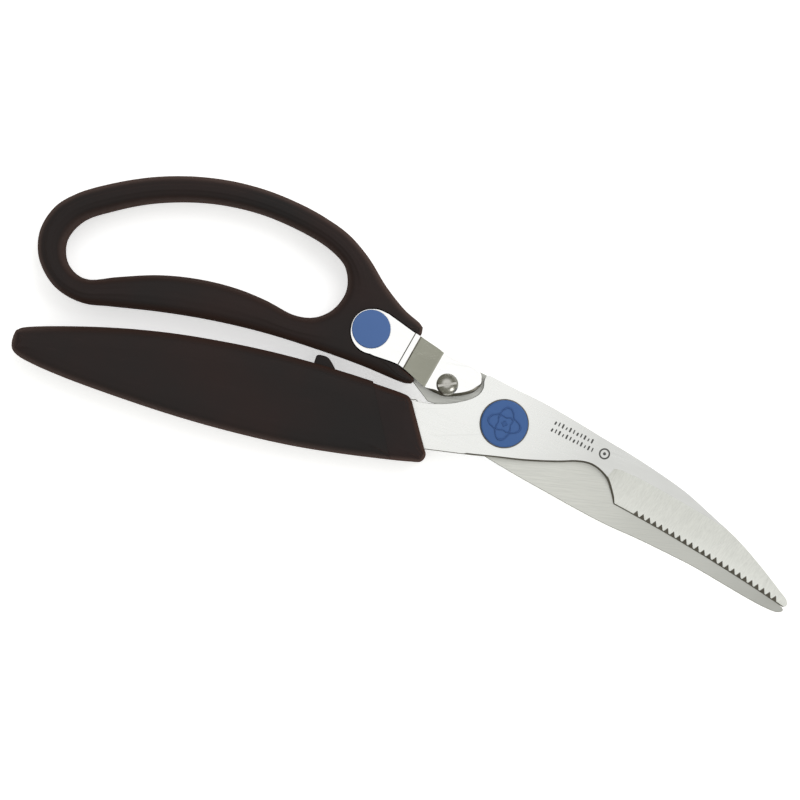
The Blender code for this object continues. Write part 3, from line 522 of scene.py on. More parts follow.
class Nodes:
    """A material's node tree with short calls for the nodes that the looks need."""

    def __init__(self, name):
        self.material = bpy.data.materials.new(name)
        self.material.use_nodes = True
        self.tree = self.material.node_tree
        self.shader = self.tree.nodes["Principled BSDF"]
        self.place = self.tree.nodes.new("ShaderNodeTexCoord").outputs["Object"]

    def link(self, output, node, socket):
        self.tree.links.new(output, node.inputs[socket])

    def noise(self, scale, detail=4.0, roughness=0.6, stretch=(1, 1, 1), turn=0.0):
        """Noise with scale features per metre, squeezed along axes that are turned about Z."""
        turned_axes = self.tree.nodes.new("ShaderNodeMapping")
        put(turned_axes, Rotation=(0, 0, -turn))
        squeezed = self.tree.nodes.new("ShaderNodeMapping")
        put(squeezed, Scale=stretch)
        noise = self.tree.nodes.new("ShaderNodeTexNoise")
        put(noise, Scale=scale, Detail=detail, Roughness=roughness)
        self.link(self.place, turned_axes, "Vector")
        self.link(turned_axes.outputs["Vector"], squeezed, "Vector")
        self.link(squeezed.outputs["Vector"], noise, "Vector")
        return noise.outputs["Fac"]

    def ramp(self, value, low, high, start, end):
        """Maps value from low..high to start..end, clamped."""
        node = self.tree.nodes.new("ShaderNodeMapRange")
        put(node, From_Min=low, From_Max=high, To_Min=start, To_Max=end)
        self.link(value, node, "Value")
        return node.outputs["Result"]

    def maths(self, operation, first, second):
        node = self.tree.nodes.new("ShaderNodeMath")
        node.operation = operation
        for index, value in enumerate((first, second)):
            if isinstance(value, (int, float)):
                node.inputs[index].default_value = value
            else:
                self.tree.links.new(value, node.inputs[index])
        return node.outputs["Value"]

    def mix(self, factor, first, second):
        node = self.tree.nodes.new("ShaderNodeMix")
        node.data_type = "RGBA"
        self.tree.links.new(factor, node.inputs[0])
        for socket, colour in ((6, first), (7, second)):
            if isinstance(colour, tuple):
                node.inputs[socket].default_value = (*colour, 1.0)
            else:
                self.tree.links.new(colour, node.inputs[socket])
        return node.outputs[2]

    def bump(self, height, strength, distance, normal=None):
        node = self.tree.nodes.new("ShaderNodeBump")
        put(node, Strength=strength, Distance=distance)
        self.link(height, node, "Height")
        if normal:
            self.link(normal, node, "Normal")
        return node.outputs["Normal"]


def plastic(name, dark, warm, rim, rough, specular):
    """Moulded plastic: a fine spark-eroded grain, cloudy warm patches, light rubbing and a painted
    rim tone where the surface turns away: a warm highlight on the dark plastics, shade on the blue
    ones."""
    n = Nodes(name)
    clouds = n.noise(28, 3, 0.55)
    grain = n.noise(5200, 3, 0.7)
    waves = n.noise(160, 2, 0.5)
    rubs = n.noise(90, 5, 0.7, (1, 5, 1), 0.2)
    colour = n.mix(n.ramp(clouds, 0.35, 0.68, 0, 1), dark, warm)
    turning = n.tree.nodes.new("ShaderNodeLayerWeight")
    put(turning, Blend=0.5)
    # rim is painted light where the surface turns away: a warm highlight on the dark plastics, shade
    # on the blue ones
    colour = n.mix(n.ramp(turning.outputs["Facing"], 0.12, 0.75, 0, 1), colour, rim)
    lighter = tuple(min(1, c * 1.12 + 0.001) for c in warm)
    colour = n.mix(n.ramp(rubs, 0.62, 0.78, 0, 0.6), colour, lighter)
    n.link(colour, n.shader, "Base Color")
    spread = n.maths("ADD", n.ramp(grain, 0.3, 0.7, rough - 0.05, rough + 0.05),
                     n.ramp(rubs, 0.5, 0.8, 0.0, -0.07))
    duller = n.ramp(turning.outputs["Facing"], 0.45, 0.9, 0, 0.4)
    n.link(n.maths("ADD", spread, duller), n.shader, "Roughness")
    fine = n.bump(grain, 0.3, 0.00004)
    n.link(n.bump(waves, 0.06, 0.0003, fine), n.shader, "Normal")
    put(n.shader, Specular_IOR_Level=specular)
    return n.material


def steel(name, light, dark, rough, turn, across=3.2, strength=0.3, painted_shade_fades=(), scratched=0.35):
    """Brushed steel: streaks run along an axis turned from X, with faint clouds and scratches.
    Each fade of (from x, to x, share) is painted shade that darkens it towards one end."""
    n = Nodes(name)
    along = 0.05
    streaks = n.noise(1000 * across, 3, 0.65, (along, 1, 1), turn)
    broad = n.noise(1000 * across * 0.22, 3, 0.6, (along * 0.6, 1, 1), turn)
    clouds = n.noise(26, 3, 0.5)
    scratch = n.noise(520, 2, 0.5, (0.04, 1.6, 1), turn + 0.35)
    both = n.maths("ADD", n.maths("MULTIPLY", streaks, 0.7), n.maths("MULTIPLY", broad, 0.3))
    colour = n.mix(n.ramp(both, 0.38, 0.62, 0, 1), dark, light)
    marks = n.ramp(scratch, 0.70, 0.80, 0, scratched)
    colour = n.mix(marks, colour, tuple(c * 0.82 for c in dark))
    # painted shade: each fade darkens the steel along X
    for start, end, share in painted_shade_fades:
        split = n.tree.nodes.new("ShaderNodeSeparateXYZ")
        n.link(n.place, split, "Vector")
        gone = n.ramp(split.outputs["X"], start * MM, end * MM, 0, 1)
        shaded = tuple(c * share for c in dark)
        colour = n.mix(n.maths("MULTIPLY", gone, 0.8), colour, shaded)
    n.link(colour, n.shader, "Base Color")
    spread = n.maths("ADD", n.ramp(both, 0.36, 0.64, rough - 0.06, rough + 0.07),
                     n.ramp(clouds, 0.3, 0.7, -0.03, 0.04))
    n.link(spread, n.shader, "Roughness")
    n.link(n.bump(both, strength, 0.00003), n.shader, "Normal")
    put(n.shader, Metallic=1.0, Anisotropic=0.35)
    return n.material


def etched(name):
    """Acid-etched steel: dark, matt and slightly speckled."""
    n = Nodes(name)
    speckle = n.noise(2600, 4, 0.7)
    n.link(n.mix(n.ramp(speckle, 0.35, 0.65, 0, 1), (0.075, 0.075, 0.072), (0.14, 0.14, 0.135)),
           n.shader, "Base Color")
    n.link(n.ramp(speckle, 0.3, 0.7, 0.5, 0.7), n.shader, "Roughness")
    n.link(n.bump(speckle, 0.2, 0.00002), n.shader, "Normal")
    put(n.shader, Metallic=0.6)
    return n.material


def floor_look():
    n = Nodes("floor_white")
    put(n.shader, Base_Color=(0.92, 0.92, 0.92, 1), Roughness=0.9, Specular_IOR_Level=0.1)
    put(n.shader, Emission_Color=(1, 1, 1, 1), Emission_Strength=0.53)
    return n.material


# The third colour of each plastic is its painted rim tone: a highlight on the dark ones, shade on
# the blue ones.
DARK = plastic("dark_plastic_grain", (0.0228, 0.0205, 0.0203), (0.0302, 0.0209, 0.0197),
               (0.058, 0.031, 0.024), 0.55, 0.07)
DARK_COLLAR = plastic("dark_plastic_collar", (0.0252, 0.0204, 0.0202), (0.0350, 0.0212, 0.0201),
                      (0.068, 0.034, 0.026), 0.55, 0.07)
BLUE = plastic("blue_plastic_grain", (0.066, 0.140, 0.350), (0.072, 0.152, 0.375),
               (0.052, 0.118, 0.320), 0.45, 0.28)
BLUE_DEEP = plastic("blue_plastic_deep", (0.048, 0.118, 0.315), (0.053, 0.129, 0.340),
                    (0.046, 0.108, 0.290), 0.45, 0.28)
BLUE_LINE = plastic("blue_plastic_line", (0.034, 0.090, 0.258), (0.039, 0.100, 0.284),
                    (0.030, 0.076, 0.220), 0.45, 0.28)
# Its fade is painted shade: the blade's flat grows darker towards the tip.
FLAT = steel("steel_along_blade", (0.855, 0.86, 0.835), (0.77, 0.775, 0.75), 0.30, 0.0,
             painted_shade_fades=((0, 30, 0.79),))
GROUND = steel("steel_ground_face", (0.96, 0.97, 0.925), (0.83, 0.84, 0.795), 0.33,
               radians(76), 2.6, 0.5)
# Its fades are painted shade: darker towards the tip, and darker near the pivot where the strap's
# shadow falls.
BACK_FLAT = steel("steel_back_blade", (0.765, 0.77, 0.722), (0.625, 0.63, 0.588), 0.43,
                  radians(13), 2.2, 0.5, painted_shade_fades=((30, 95, 0.73), (-6, -15, 0.85)))
# Dark steel for rims and notch walls: painted shade for the contact shadows and dark reflections
# along them.
PAINTED_SHADE_RIM = steel("steel_rim_painted_shade", (0.225, 0.21, 0.178), (0.16, 0.148, 0.124), 0.36, 0.0)
# A darker copy of the strap's bright steel: painted shade for the slope that tilts away from the
# light.
PAINTED_SHADE_SLOPE = steel("steel_slope_painted_shade", (0.465, 0.465, 0.396), (0.44, 0.44, 0.37), 0.2,
              radians(-11), 2.4, 0.06, scratched=0.0)
BRIGHT = steel("steel_bright", (0.93, 0.93, 0.915), (0.89, 0.89, 0.87), 0.17,
               radians(-11), 2.4, 0.12)
SCREW_LOOK = steel("steel_screw", (0.57, 0.56, 0.52), (0.44, 0.43, 0.395), 0.29,
                   radians(24), 3.0, 0.25)
SPRING_LOOK = steel("steel_spring", (0.52, 0.52, 0.52), (0.40, 0.40, 0.40), 0.32, 0.0)
ETCH = etched("etched_steel")


# ---------------- blades

def edge_height(x):
    return EDGE_Y - EDGE_SLOPE * (x - EDGE_X) - EDGE_BEND * (x - EDGE_X) ** 2


def edge_fall(x):
    """How fast the serrated edge falls along X."""
    return EDGE_SLOPE + 2 * EDGE_BEND * (x - EDGE_X)


def edge_point(x, inwards):
    normal = Vector((edge_fall(x), 1.0)).normalized()
    return Vector((x, edge_height(x))) + normal * inwards


def plain_edge():
    """The edge from the tip back to the bone notch, before its notches are cut."""
    steps = 40
    span = EDGE_END - EDGE_START
    return [edge_point(EDGE_END - span * i / steps, 0) for i in range(steps + 1)]


def ground_height(inwards):
    """Height of the ground face above the blade's back, at a distance inwards from the edge."""
    rise = FRONT_TOP - FRONT_LOW - EDGE_THICKNESS
    return EDGE_THICKNESS + rise * (max(inwards, 0.0) / GRIND_WIDTH) ** HOLLOW


def notch_cutters():
    """One tool for all the notches of the serrated edge: each is a pointed groove whose floor
    rises from just above the blade's back to the ground face."""
    bm = bmesh.new()
    climb = (ground_height(TOOTH_DEPTH) - NOTCH_FLOOR) / TOOTH_DEPTH
    for tooth in range(TOOTH_COUNT):
        middle = FIRST_TOOTH + tooth * TOOTH_PITCH
        rings = []
        for spread, top in ((0.0, False), (TOOTH_FLARE, True)):
            half = TOOTH_HALF_WIDTH + spread
            tip = middle - TOOTH_LEAN
            ring = []
            for x, inwards in ((middle - half, -TOOTH_OVERRUN), (middle + half, -TOOTH_OVERRUN),
                               (middle + half, 0.0), (tip + TOOTH_POINT, TOOTH_DEPTH + spread),
                               (tip - TOOTH_POINT, TOOTH_DEPTH + spread), (middle - half, 0.0)):
                spot = edge_point(x, inwards)
                height = NOTCH_TOOL_TOP if top else NOTCH_FLOOR + climb * inwards
                ring.append((spot.x, spot.y, FRONT_LOW + height))
            rings.append(ring)
        made = add_rings(bm, rings)
        add_cap(bm, [made[0]])
        add_cap(bm, [made[-1]])
    return to_object("notch_cutters", bm)


def edge_distance(x, y):
    """How far inwards from the serrated edge a place on the front blade lies."""
    return (y - edge_height(x)) * cos(atan(edge_fall(x)))


def notch_ramp():
    """A tool for the broad bevel where the ground face meets the wall of the bone notch."""
    path = [point for point in smooth(BONE_NOTCH, 0.8) if point.x > RAMP_START]
    path.insert(0, path[0] * 2 - path[1])
    sections = []
    for index, point in enumerate(path):
        along = (path[min(index + 1, len(path) - 1)] - path[max(index - 1, 0)]).normalized()
        inwards = Vector((along.y, -along.x))
        spot = point + inwards * 0.5
        surface = ground_height(edge_distance(spot.x, spot.y))
        foot = surface - min(RAMP_WIDTH, RAMP_SHARE * surface)
        section = []
        for reach, height in ((-0.4, foot - 0.4), (0.9, foot + 0.9), (0.9, surface + 3.0),
                              (-0.4, surface + 3.0)):
            place = point + inwards * reach
            section.append((place.x, place.y, FRONT_LOW + height))
        sections.append(section)
    return lofted("notch_ramp", sections)


def mark_notches(made):
    """Material 2, the dark painted-shade steel, on the walls of the notches, which lie below the
    ground face.
    """
    for face in made.data.polygons:
        x, y, z = (value / MM for value in face.center)
        inwards = edge_distance(x, y)
        depth = ground_height(inwards) - (z - FRONT_LOW)
        in_band = FIRST_TOOTH - 2 < x < EDGE_END and -0.1 < inwards < TOOTH_DEPTH + 0.1
        if in_band and depth > 0.015 and face.normal.z > 0.1:
            face.material_index = 2


def blade_rim(point, inwards):
    """The front blade's rim is crisp along its spine and broad around the bone notch."""
    if inwards.y < 0.3:
        return 0.15
    return 1.0 if point.x > -9 else 0.5


def grind_cutter(edge_points, widths, face_z, edge_z, lip=0.0, start_turn=0.0):
    """A long tool that grinds a hollow face from face_z down to edge_z at the cutting edge, with
    a second bevel of lip; its first end is turned by start_turn."""
    steps = 12
    away = copysign(6.0, face_z - edge_z)
    sections = []
    for index, point in enumerate(edge_points):
        before = edge_points[max(index - 1, 0)]
        after = edge_points[min(index + 1, len(edge_points) - 1)]
        along = (after - before).normalized()
        inwards = Vector((-along.y, along.x))
        if index == 0:
            inwards = Matrix.Rotation(start_turn, 2) @ inwards
        width = widths[index]
        outer = point - inwards * 3
        section = [(outer.x, outer.y, edge_z - lip), (point.x, point.y, edge_z - lip)]
        for step in range(1 if lip else 0, steps + 1):
            if step == 1 and lip:
                spot = point + inwards * lip
                section.append((spot.x, spot.y, edge_z + 0.02))
            part = step / steps
            spot = point + inwards * width * part
            section.append((spot.x, spot.y, edge_z + (face_z - edge_z) * part ** HOLLOW))
        inner = point + inwards * (width + 2)
        rise = (face_z - edge_z) * HOLLOW * 2 / width
        section.append((inner.x, inner.y, face_z + rise))
        section.append((inner.x, inner.y, face_z + away))
        section.append((outer.x, outer.y, face_z + away))
        sections.append(section)
    return lofted("grind_cutter", sections)


def sort_faces(made, levels, ground_up):
    """Material 0 on faces at the given levels and on rims that face the spine, the light steel as
    painted light,
    1 on the ground face and 2, the dark painted-shade steel, on the other rims and walls."""
    for face in made.data.polygons:
        tilt = abs(face.normal.z)
        height = face.center.z / MM
        flat = any(abs(height - level) < 0.02 for level in levels)
        if tilt > 0.9995 and flat:
            face.material_index = 0
        elif 0.955 < tilt < 0.9995 and face.normal.z * ground_up > 0:
            face.material_index = 1
        elif tilt < 0.95 and face.normal.y > 0.25:
            face.material_index = 0
        else:
            face.material_index = 2


def leg_slot(start, end, low, top):
    """The room for a leg of the return spring, from inside its pocket to past the leg's end."""
    half = radians(7)
    inner, outer = LEG_ROOM
    steps = max(1, round((end - start) / 0.08))
    angles = [start - half + (end - start + 2 * half) * i / steps for i in range(steps + 1)]
    outline = [ray(a, outer) for a in angles] + [ray(a, inner) for a in reversed(angles)]
    return plate("leg_slot", [counter_clockwise(outline)], low, top, 0)


def front_blade():
    outline = joined(smooth(FRONT_SPINE, 1.5), plain_edge(), smooth(BONE_NOTCH, 1.2),
                     smooth(GRIP_TANG, 2), smooth(FRONT_SHOULDER, 0.8))
    made = plate("serrated_blade", [outline], FRONT_LOW, FRONT_TOP, 0.55, 0.1, blade_rim)
    stations = [32.8, 36.5, 40.5] + [44.1 + 3.2 * i for i in range(20)]
    widths = [10.1, 10.3, 10.6] + [GRIND_WIDTH] * (len(stations) - 3)
    shape(made, grind_cutter([edge_point(x, 0) for x in stations], widths, FRONT_TOP,
                             FRONT_LOW + EDGE_THICKNESS, LIP, radians(-14)))
    shape(made, notch_cutters())
    shape(made, notch_ramp())
    groove = [circle((0, 0), PIVOT_CAP_RADIUS + 0.2, 128), circle((0, 0), 6.8, 128)[::-1]]
    shape(made, plate("cap_groove", groove, FRONT_TOP - 0.5, FRONT_TOP + 1, 0))
    below, above = THROUGH_BLADES
    drill(made, (0, 0), PIVOT_HOLE_RADIUS, below, above, 96)
    pocket_z = FRONT_LOW + SPRING_POCKET_DEPTH
    drill(made, (0, 0), SPRING_POCKET_RADIUS, below, pocket_z, 96)
    shape(made, leg_slot(radians(90), radians(90), below, pocket_z))
    place_piece(made, GRIP, ["front_blade"], [FLAT, GROUND, PAINTED_SHADE_RIM], 9)
    sort_faces(made, (FRONT_TOP, FRONT_LOW), 1)
    mark_notches(made)


def back_blade():
    outline = joined(LOCK_NOTCH, smooth(BACK_SPINE, 1.5), smooth(BACK_EDGE, 2),
                     smooth(BACK_TOP_EDGE, 1.5))
    made = plate("plain_blade", [outline], BACK_LOW, BACK_TOP, 0.14)
    shape(made, grind_cutter([Vector(point) for point in BACK_GRIND],
                             [9.0, 9.0, 9.0, 9.0, 7.0, 4.0], BACK_LOW,
                             BACK_TOP - EDGE_THICKNESS))
    below, above = THROUGH_BLADES
    drill(made, (0, 0), PIVOT_HOLE_RADIUS, below, above, 96)
    pocket_z = BACK_TOP - SPRING_POCKET_DEPTH
    drill(made, (0, 0), SPRING_POCKET_RADIUS, pocket_z, above, 96)
    shape(made, leg_slot(radians(198), radians(240), pocket_z, above))
    place_piece(made, LOOP, ["back_blade"], [BACK_FLAT, GROUND, PAINTED_SHADE_RIM], 9)
    sort_faces(made, (BACK_TOP, BACK_LOW), -1)


def blade_mark():
    """A plain etched mark on the blade's flat: two rows of dashes and a ring, with no lettering."""
    ring, step = (32.4, 1.0), 1.25
    pieces = [[circle(ring, 1.75, 64), circle(ring, 1.25, 64)[::-1]], [circle(ring, 0.5, 32)]]
    for start, count in (((15.0, 4.9), 11), ((14.6, 2.55), 12)):
        for dash in range(count):
            foot = Vector(start) + Vector((step * dash, -0.15 * step * dash))
            head = foot + Vector((0.15, 0.95 if dash % 3 else 0.6))
            pieces.append([rounded_bar(foot, head, 0.2 if dash % 2 else 0.28)])
    bm = bmesh.new()
    for loops in pieces:
        part = plate("etched_part", loops, FRONT_TOP - 0.05, FRONT_TOP + 0.012, 0)
        bm.from_mesh(part.data)
        bpy.data.objects.remove(part)
    place_piece(meshed("etched_mark", bm), GRIP, [], ETCH)


def rounded_bar(start, end, half):
    """The outline of a bar with round ends."""
    start, end = Vector(start), Vector(end)
    heading = atan2(end.y - start.y, end.x - start.x)
    outline = []
    for centre, turn in ((start, pi / 2), (end, -pi / 2)):
        for i in range(13):
            angle = heading + turn + pi * i / 12
            outline.append(centre + ray(angle) * half)
    return counter_clockwise(outline)


# ---------------- handles

RIM_HEIGHT = 4.6  # of the rounded rims of the moulded shells
SLIDE_TRAVEL = 4.5


def loop_loops():
    return [joined(smooth(LOOP_OUTER, 1.3), straight(LOOP_MOUTH, 1.3)),
            counter_clockwise(smooth(FINGER_HOLE, 1.3, closed=True))[::-1]]


def loop_shells():
    front = moulded("finger_loop_front", loop_loops(), MEETING_Z + SEAM, HANDLE_TOP, 3.3,
                    RIM_HEIGHT)
    bed = grown(strap_outline(), 0.16)
    shape(front, plate("strap_bed", [bed], STRAP_TOP - STRAP_THICKNESS - 0.4, HANDLE_TOP + 5, 0))
    back = moulded("finger_loop_back", loop_loops(), MEETING_Z - SEAM, HANDLE_LOW, 3.3,
                   RIM_HEIGHT)
    tang = grown(joined(smooth(BACK_TOP_EDGE[4:], 1.5), [(-20.0, 3.1)]), 0.12)
    shape(back, plate("tang_room", [tang], BACK_LOW - 0.12, MEETING_Z + 1, 0))
    drill(back, LOOP_BOLT_PLACE, LOOP_CAP_RADIUS + 0.15, -10, -1.75, 96)
    place_piece(front, LOOP, ["loop_front_shell"], DARK)
    place_piece(back, LOOP, ["loop_back_shell"], DARK)


def grip_tang_room():
    outline = grown(joined(smooth(GRIP_TANG, 2), smooth(FRONT_SHOULDER[:3], 1),
                           [(-12.0, -5.0), (-12.0, -13.6)]), 0.1)
    return plate("tang_room", [outline], FRONT_LOW - 0.1, FRONT_TOP + 0.1, 0)


def bar_room(start, end):
    low, high = low_mm("lock_bar"), high_mm("lock_bar")
    middle = centre_mm("lock_bar").y
    return box("bar_room", (start, middle - 0.75, low.z - 0.15), (end, middle + 0.75, high.z + 0.15))


def grip_shell(name, node, flat_z, round_z):
    outline = joined(smooth(GRIP_EDGE, 1.3), straight([GRIP_EDGE[-1], GRIP_EDGE[0]], 1.3))
    made = moulded(name, [outline], flat_z, round_z, 3.4, RIM_HEIGHT)
    shape(made, seam_block(-1), "INTERSECT")
    low, high = low_mm("lock_slider"), high_mm("lock_slider")
    shape(made, box("slide_slot", (low.x - 0.15, low.y - 0.3, low.z - 0.15),
                    (high.x + SLIDE_TRAVEL + 0.15, 5, high.z + 0.15)))
    if round_z > flat_z:
        shape(made, grip_tang_room())
    else:
        shape(made, bar_room(low.x, -25))
    return place_piece(made, GRIP, [node], DARK)


def collar():
    outline = joined(straight(COLLAR_REAR, 2), smooth(COLLAR_TOP_EDGE, 0.6),
                     straight([COLLAR_TOP_EDGE[-1], COLLAR_LOW_EDGE[0]], 1),
                     smooth(COLLAR_LOW_EDGE, 0.6))
    made = moulded("front_collar", [outline], MEETING_Z, HANDLE_LOW, 2.4, 4.4)
    shape(made, moulded("collar_top", [outline], MEETING_Z - 0.2, HANDLE_TOP, 2.4, 4.4), "UNION")
    shape(made, seam_block(1), "INTERSECT")
    shape(made, grip_tang_room())
    shape(made, bar_room(-50, -20))
    place_piece(made, GRIP, ["grip_collar"], DARK_COLLAR)


def thumb_slide():
    low, high = low_mm("lock_slider"), high_mm("lock_slider")
    dome = smooth([(low.x, 0.9), (low.x + 0.1, 1.6), (low.x + 0.7, 2.05), (-59.6, high.y),
                   (-58.3, 2.15), (-56.8, 1.1), (high.x, -0.4)], 0.4)
    outline = joined(dome, straight([(high.x, -0.4), (high.x, low.y), (low.x, low.y),
                                     (low.x, 0.9)], 0.6))
    slider = plate("thumb_slide", [outline], low.z, high.z, 0.6)
    for x in (-60.6, -59.3, -58.0, -56.9):
        shape(slider, box("rib_gap", (x - 0.22, 1.75 - 0.25 * abs(x + 59.6), low.z + 1.2),
                          (x + 0.22, 4, high.z - 1.2)))
    shape(slider, bar_room(low.x + 0.7, -50))
    place_piece(slider, LOCK, ["lock_slider"], DARK)


def lock_bar():
    low, high = low_mm("lock_bar"), high_mm("lock_bar")
    middle = centre_mm("lock_bar").y
    radius = (high.y - low.y) / 2
    tip = high.x - radius
    nose = [Vector((tip + radius * cos(a), middle + radius * sin(a)))
            for a in (radians(d) for d in range(-130, 131, 5))]
    neck = tip - radius
    outline = joined(nose, [(neck, middle + 0.6), (low.x, middle + 0.6),
                            (low.x, middle - 0.6), (neck, middle - 0.6)])
    bar = plate("lock_hook_bar", [outline], low.z, high.z, 0.28)
    place_piece(bar, LOCK, ["lock_bar"], [BRIGHT, PAINTED_SHADE_RIM])
    # Its top gets the bright steel and its rims the dark steel as painted shade.
    for face in bar.data.polygons:
        face.material_index = 0 if face.normal.z > 0.98 else 1


# ---------------- strap and fasteners

SCREW_HOLE_RADIUS = 2.2
SCREW_SHANK_RADIUS = 1.9
BUSH_RADIUS = 3.2


def strap_outline():
    """The strap seen from the front: a round end, then a band that widens at the screw."""
    arc = [STRAP_END + ray(radians(d)) * STRAP_END_RADIUS for d in range(85, 281, 5)]
    lower = smooth([(-45.0, 6.95), (-38.0, 6.85), (-35.0, 6.3), (-30.5, 4.4), (-26.6, 2.8),
                    (-23.0, 2.2), (-20.3, 2.15), (-14.7, 4.4), (-11.9, 6.5), (-10.5, 9.0),
                    (-11.1, 11.4), (-13.1, 13.2), (-20.0, 14.3), (-23.5, 14.8)], 0.7)
    upper = smooth([(-23.5, 14.8), (-33.0, 17.3), (-40.0, 19.5), (-44.5, 20.9)], 1.5)
    return joined(arc, lower, upper)


def across_strap(name, profile):
    """A tool that runs across the strap, from (u, z) points with u along it from its round end."""
    turn = Matrix.Rotation(STRAP_TURN, 2)
    sections = []
    for across in (-30.0, 30.0):
        places = [turn @ Vector((u, across)) + STRAP_END for u, z in profile]
        sections.append([(p.x, p.y, z) for p, (u, z) in zip(places, profile)])
    return lofted(name, sections)


def strap_rims():
    """A solid that rounds the strap's rims: broadly on the low side of its low end, finely on the
    rest of it."""
    outline = strap_outline()
    full = insets([outline], 1.1)[0]
    low_end, high_end = [], []
    for point, inwards, depth in zip(outline, left_normals(outline), full):
        near = min(1.0, max(0.0, (point.x + 27.0) / 3.0))
        low_side = min(1.0, max(0.3, 0.45 + 1.1 * inwards.y))
        low_end.append(depth * near * low_side)
        high_end.append(depth * min(1.0, max(0.0, (-34.0 - point.x) / 2.0)) * 0.3)
    levels = []
    for z, low_part, high_part in (
            (-5.0, 0.0, 0.0), (STRAP_LOW_TOP - 0.9, 0.0, 0.0), (STRAP_LOW_TOP - 0.4, 0.3, 0.0),
            (STRAP_LOW_TOP + 0.1, 1.0, 0.0), (STRAP_TOP - 0.25, 1.0, 0.0),
            (STRAP_TOP - 0.07, 1.0, 0.4), (STRAP_TOP + 0.1, 1.0, 1.0), (25.0, 1.0, 1.0)):
        levels.append((z, [[a * low_part + b * high_part for a, b in zip(low_end, high_end)]]))
    return layered("strap_rims", [outline], levels)


def strap():
    """A stepped strip: the side view is drawn along it, with small radii at the bends."""
    slope_top, slope_foot = Vector((13.85, STRAP_TOP - 0.46)), Vector((21.7, STRAP_LOW_TOP + 0.12))
    tops = [(-20.0, STRAP_TOP), (11.3, STRAP_TOP), (11.6, STRAP_TOP), (13.4, STRAP_TOP - 0.12),
            tuple(slope_top), tuple(slope_top.lerp(slope_foot, 0.02)),
            tuple(slope_top.lerp(slope_foot, 0.98)), tuple(slope_foot), (22.2, STRAP_LOW_TOP),
            (22.4, STRAP_LOW_TOP), (60.0, STRAP_LOW_TOP)]
    profile = tops + [(u, z - STRAP_THICKNESS) for u, z in reversed(tops)]
    made = plate("stepped_strap", [strap_outline()], *THROUGH_STRAP, 0)
    shape(made, across_strap("strap_side_view", profile), "INTERSECT")
    shape(made, strap_rims(), "INTERSECT")
    drill(made, LOOP_BOLT_PLACE, 2.9, *THROUGH_STRAP)
    drill(made, SCREW_PLACE, SCREW_HOLE_RADIUS, *THROUGH_STRAP)
    shape(made, across_strap("crease", [(11.45, STRAP_TOP + 0.1), (11.45, STRAP_TOP - 0.02),
                                        (11.6, STRAP_TOP - 0.13), (11.78, STRAP_TOP - 0.02),
                                        (11.78, STRAP_TOP + 0.1)]))
    groove = [circle(LOOP_BOLT_PLACE, LOOP_CAP_RADIUS + 0.22, 128),
              circle(LOOP_BOLT_PLACE, 5.0, 128)[::-1]]
    shape(made, plate("cap_groove", groove, STRAP_TOP - 0.4, STRAP_TOP + 1, 0))
    place_piece(made, LOOP, ["strap"], [BRIGHT, PAINTED_SHADE_SLOPE, PAINTED_SHADE_RIM], 12)
    # Painted shade: the slope gets the darker copy of the strap's steel, and rims that don't face +Y
    # get the dark steel.
    for face in made.data.polygons:
        tilt = face.normal.z
        if 0.93 < tilt < 0.985:
            face.material_index = 1
        elif tilt < 0.985 and face.normal.y < 0.2:
            face.material_index = 2


def strap_screw():
    low, high = low_mm("strap_screw"), high_mm("strap_screw")
    seat = STRAP_LOW_TOP + 0.02
    rise = high.z - seat
    dome = rise - 0.25
    ball = (SCREW_RADIUS ** 2 + dome ** 2) / (2 * dome)
    head = []
    for i in range(17):
        reach = SCREW_RADIUS * i / 16
        head.append((reach, high.z - ball + sqrt(ball ** 2 - reach ** 2)))
    profile = head + [(SCREW_RADIUS, seat), (SCREW_SHANK_RADIUS, seat),
                      (SCREW_SHANK_RADIUS, low.z + 0.3), (1.6, low.z), (0, low.z)]
    made = turned("slotted_screw", profile, 96, SCREW_PLACE)
    along = ray(radians(27))
    across = Vector((-along.y, along.x))
    centre = Vector(SCREW_PLACE[:2])
    half = 0.36
    outline = [centre + along * a + across * b
               for a, b in ((-5, -half), (5, -half), (5, half), (-5, half))]
    shape(made, plate("screw_slot", [counter_clockwise(outline)], seat + 0.75, seat + 5, 0))
    bevel = made.modifiers.new("rim", "BEVEL")
    bevel.width = 0.06 * MM
    bevel.segments = 2
    bevel.limit_method = "ANGLE"
    bevel.angle_limit = radians(50)
    place_piece(made, LOOP, ["strap_screw"], SCREW_LOOK, 35)


def strap_bush():
    edge = 0.15
    profile = [(SCREW_HOLE_RADIUS, FRONT_TOP), (BUSH_RADIUS - edge, FRONT_TOP),
               (BUSH_RADIUS, FRONT_TOP - edge), (BUSH_RADIUS, FRONT_LOW + edge),
               (BUSH_RADIUS - edge, FRONT_LOW), (SCREW_HOLE_RADIUS, FRONT_LOW)]
    made = turned("strap_bush", profile, 96, SCREW_PLACE, True)
    place_piece(made, LOOP, ["strap_spacer"], SPRING_LOOK)


def loop_cap_front():
    high = high_mm("loop_cap_front")
    low = STRAP_TOP + 0.02
    profile = domed(LOOP_CAP_RADIUS, high.z - 0.12, 0.12, 0.4, low)
    cap = turned("loop_cap_blue", profile + [(0, low)], 128, LOOP_BOLT_PLACE)
    place_piece(cap, LOOP, ["loop_cap_front"], BLUE)


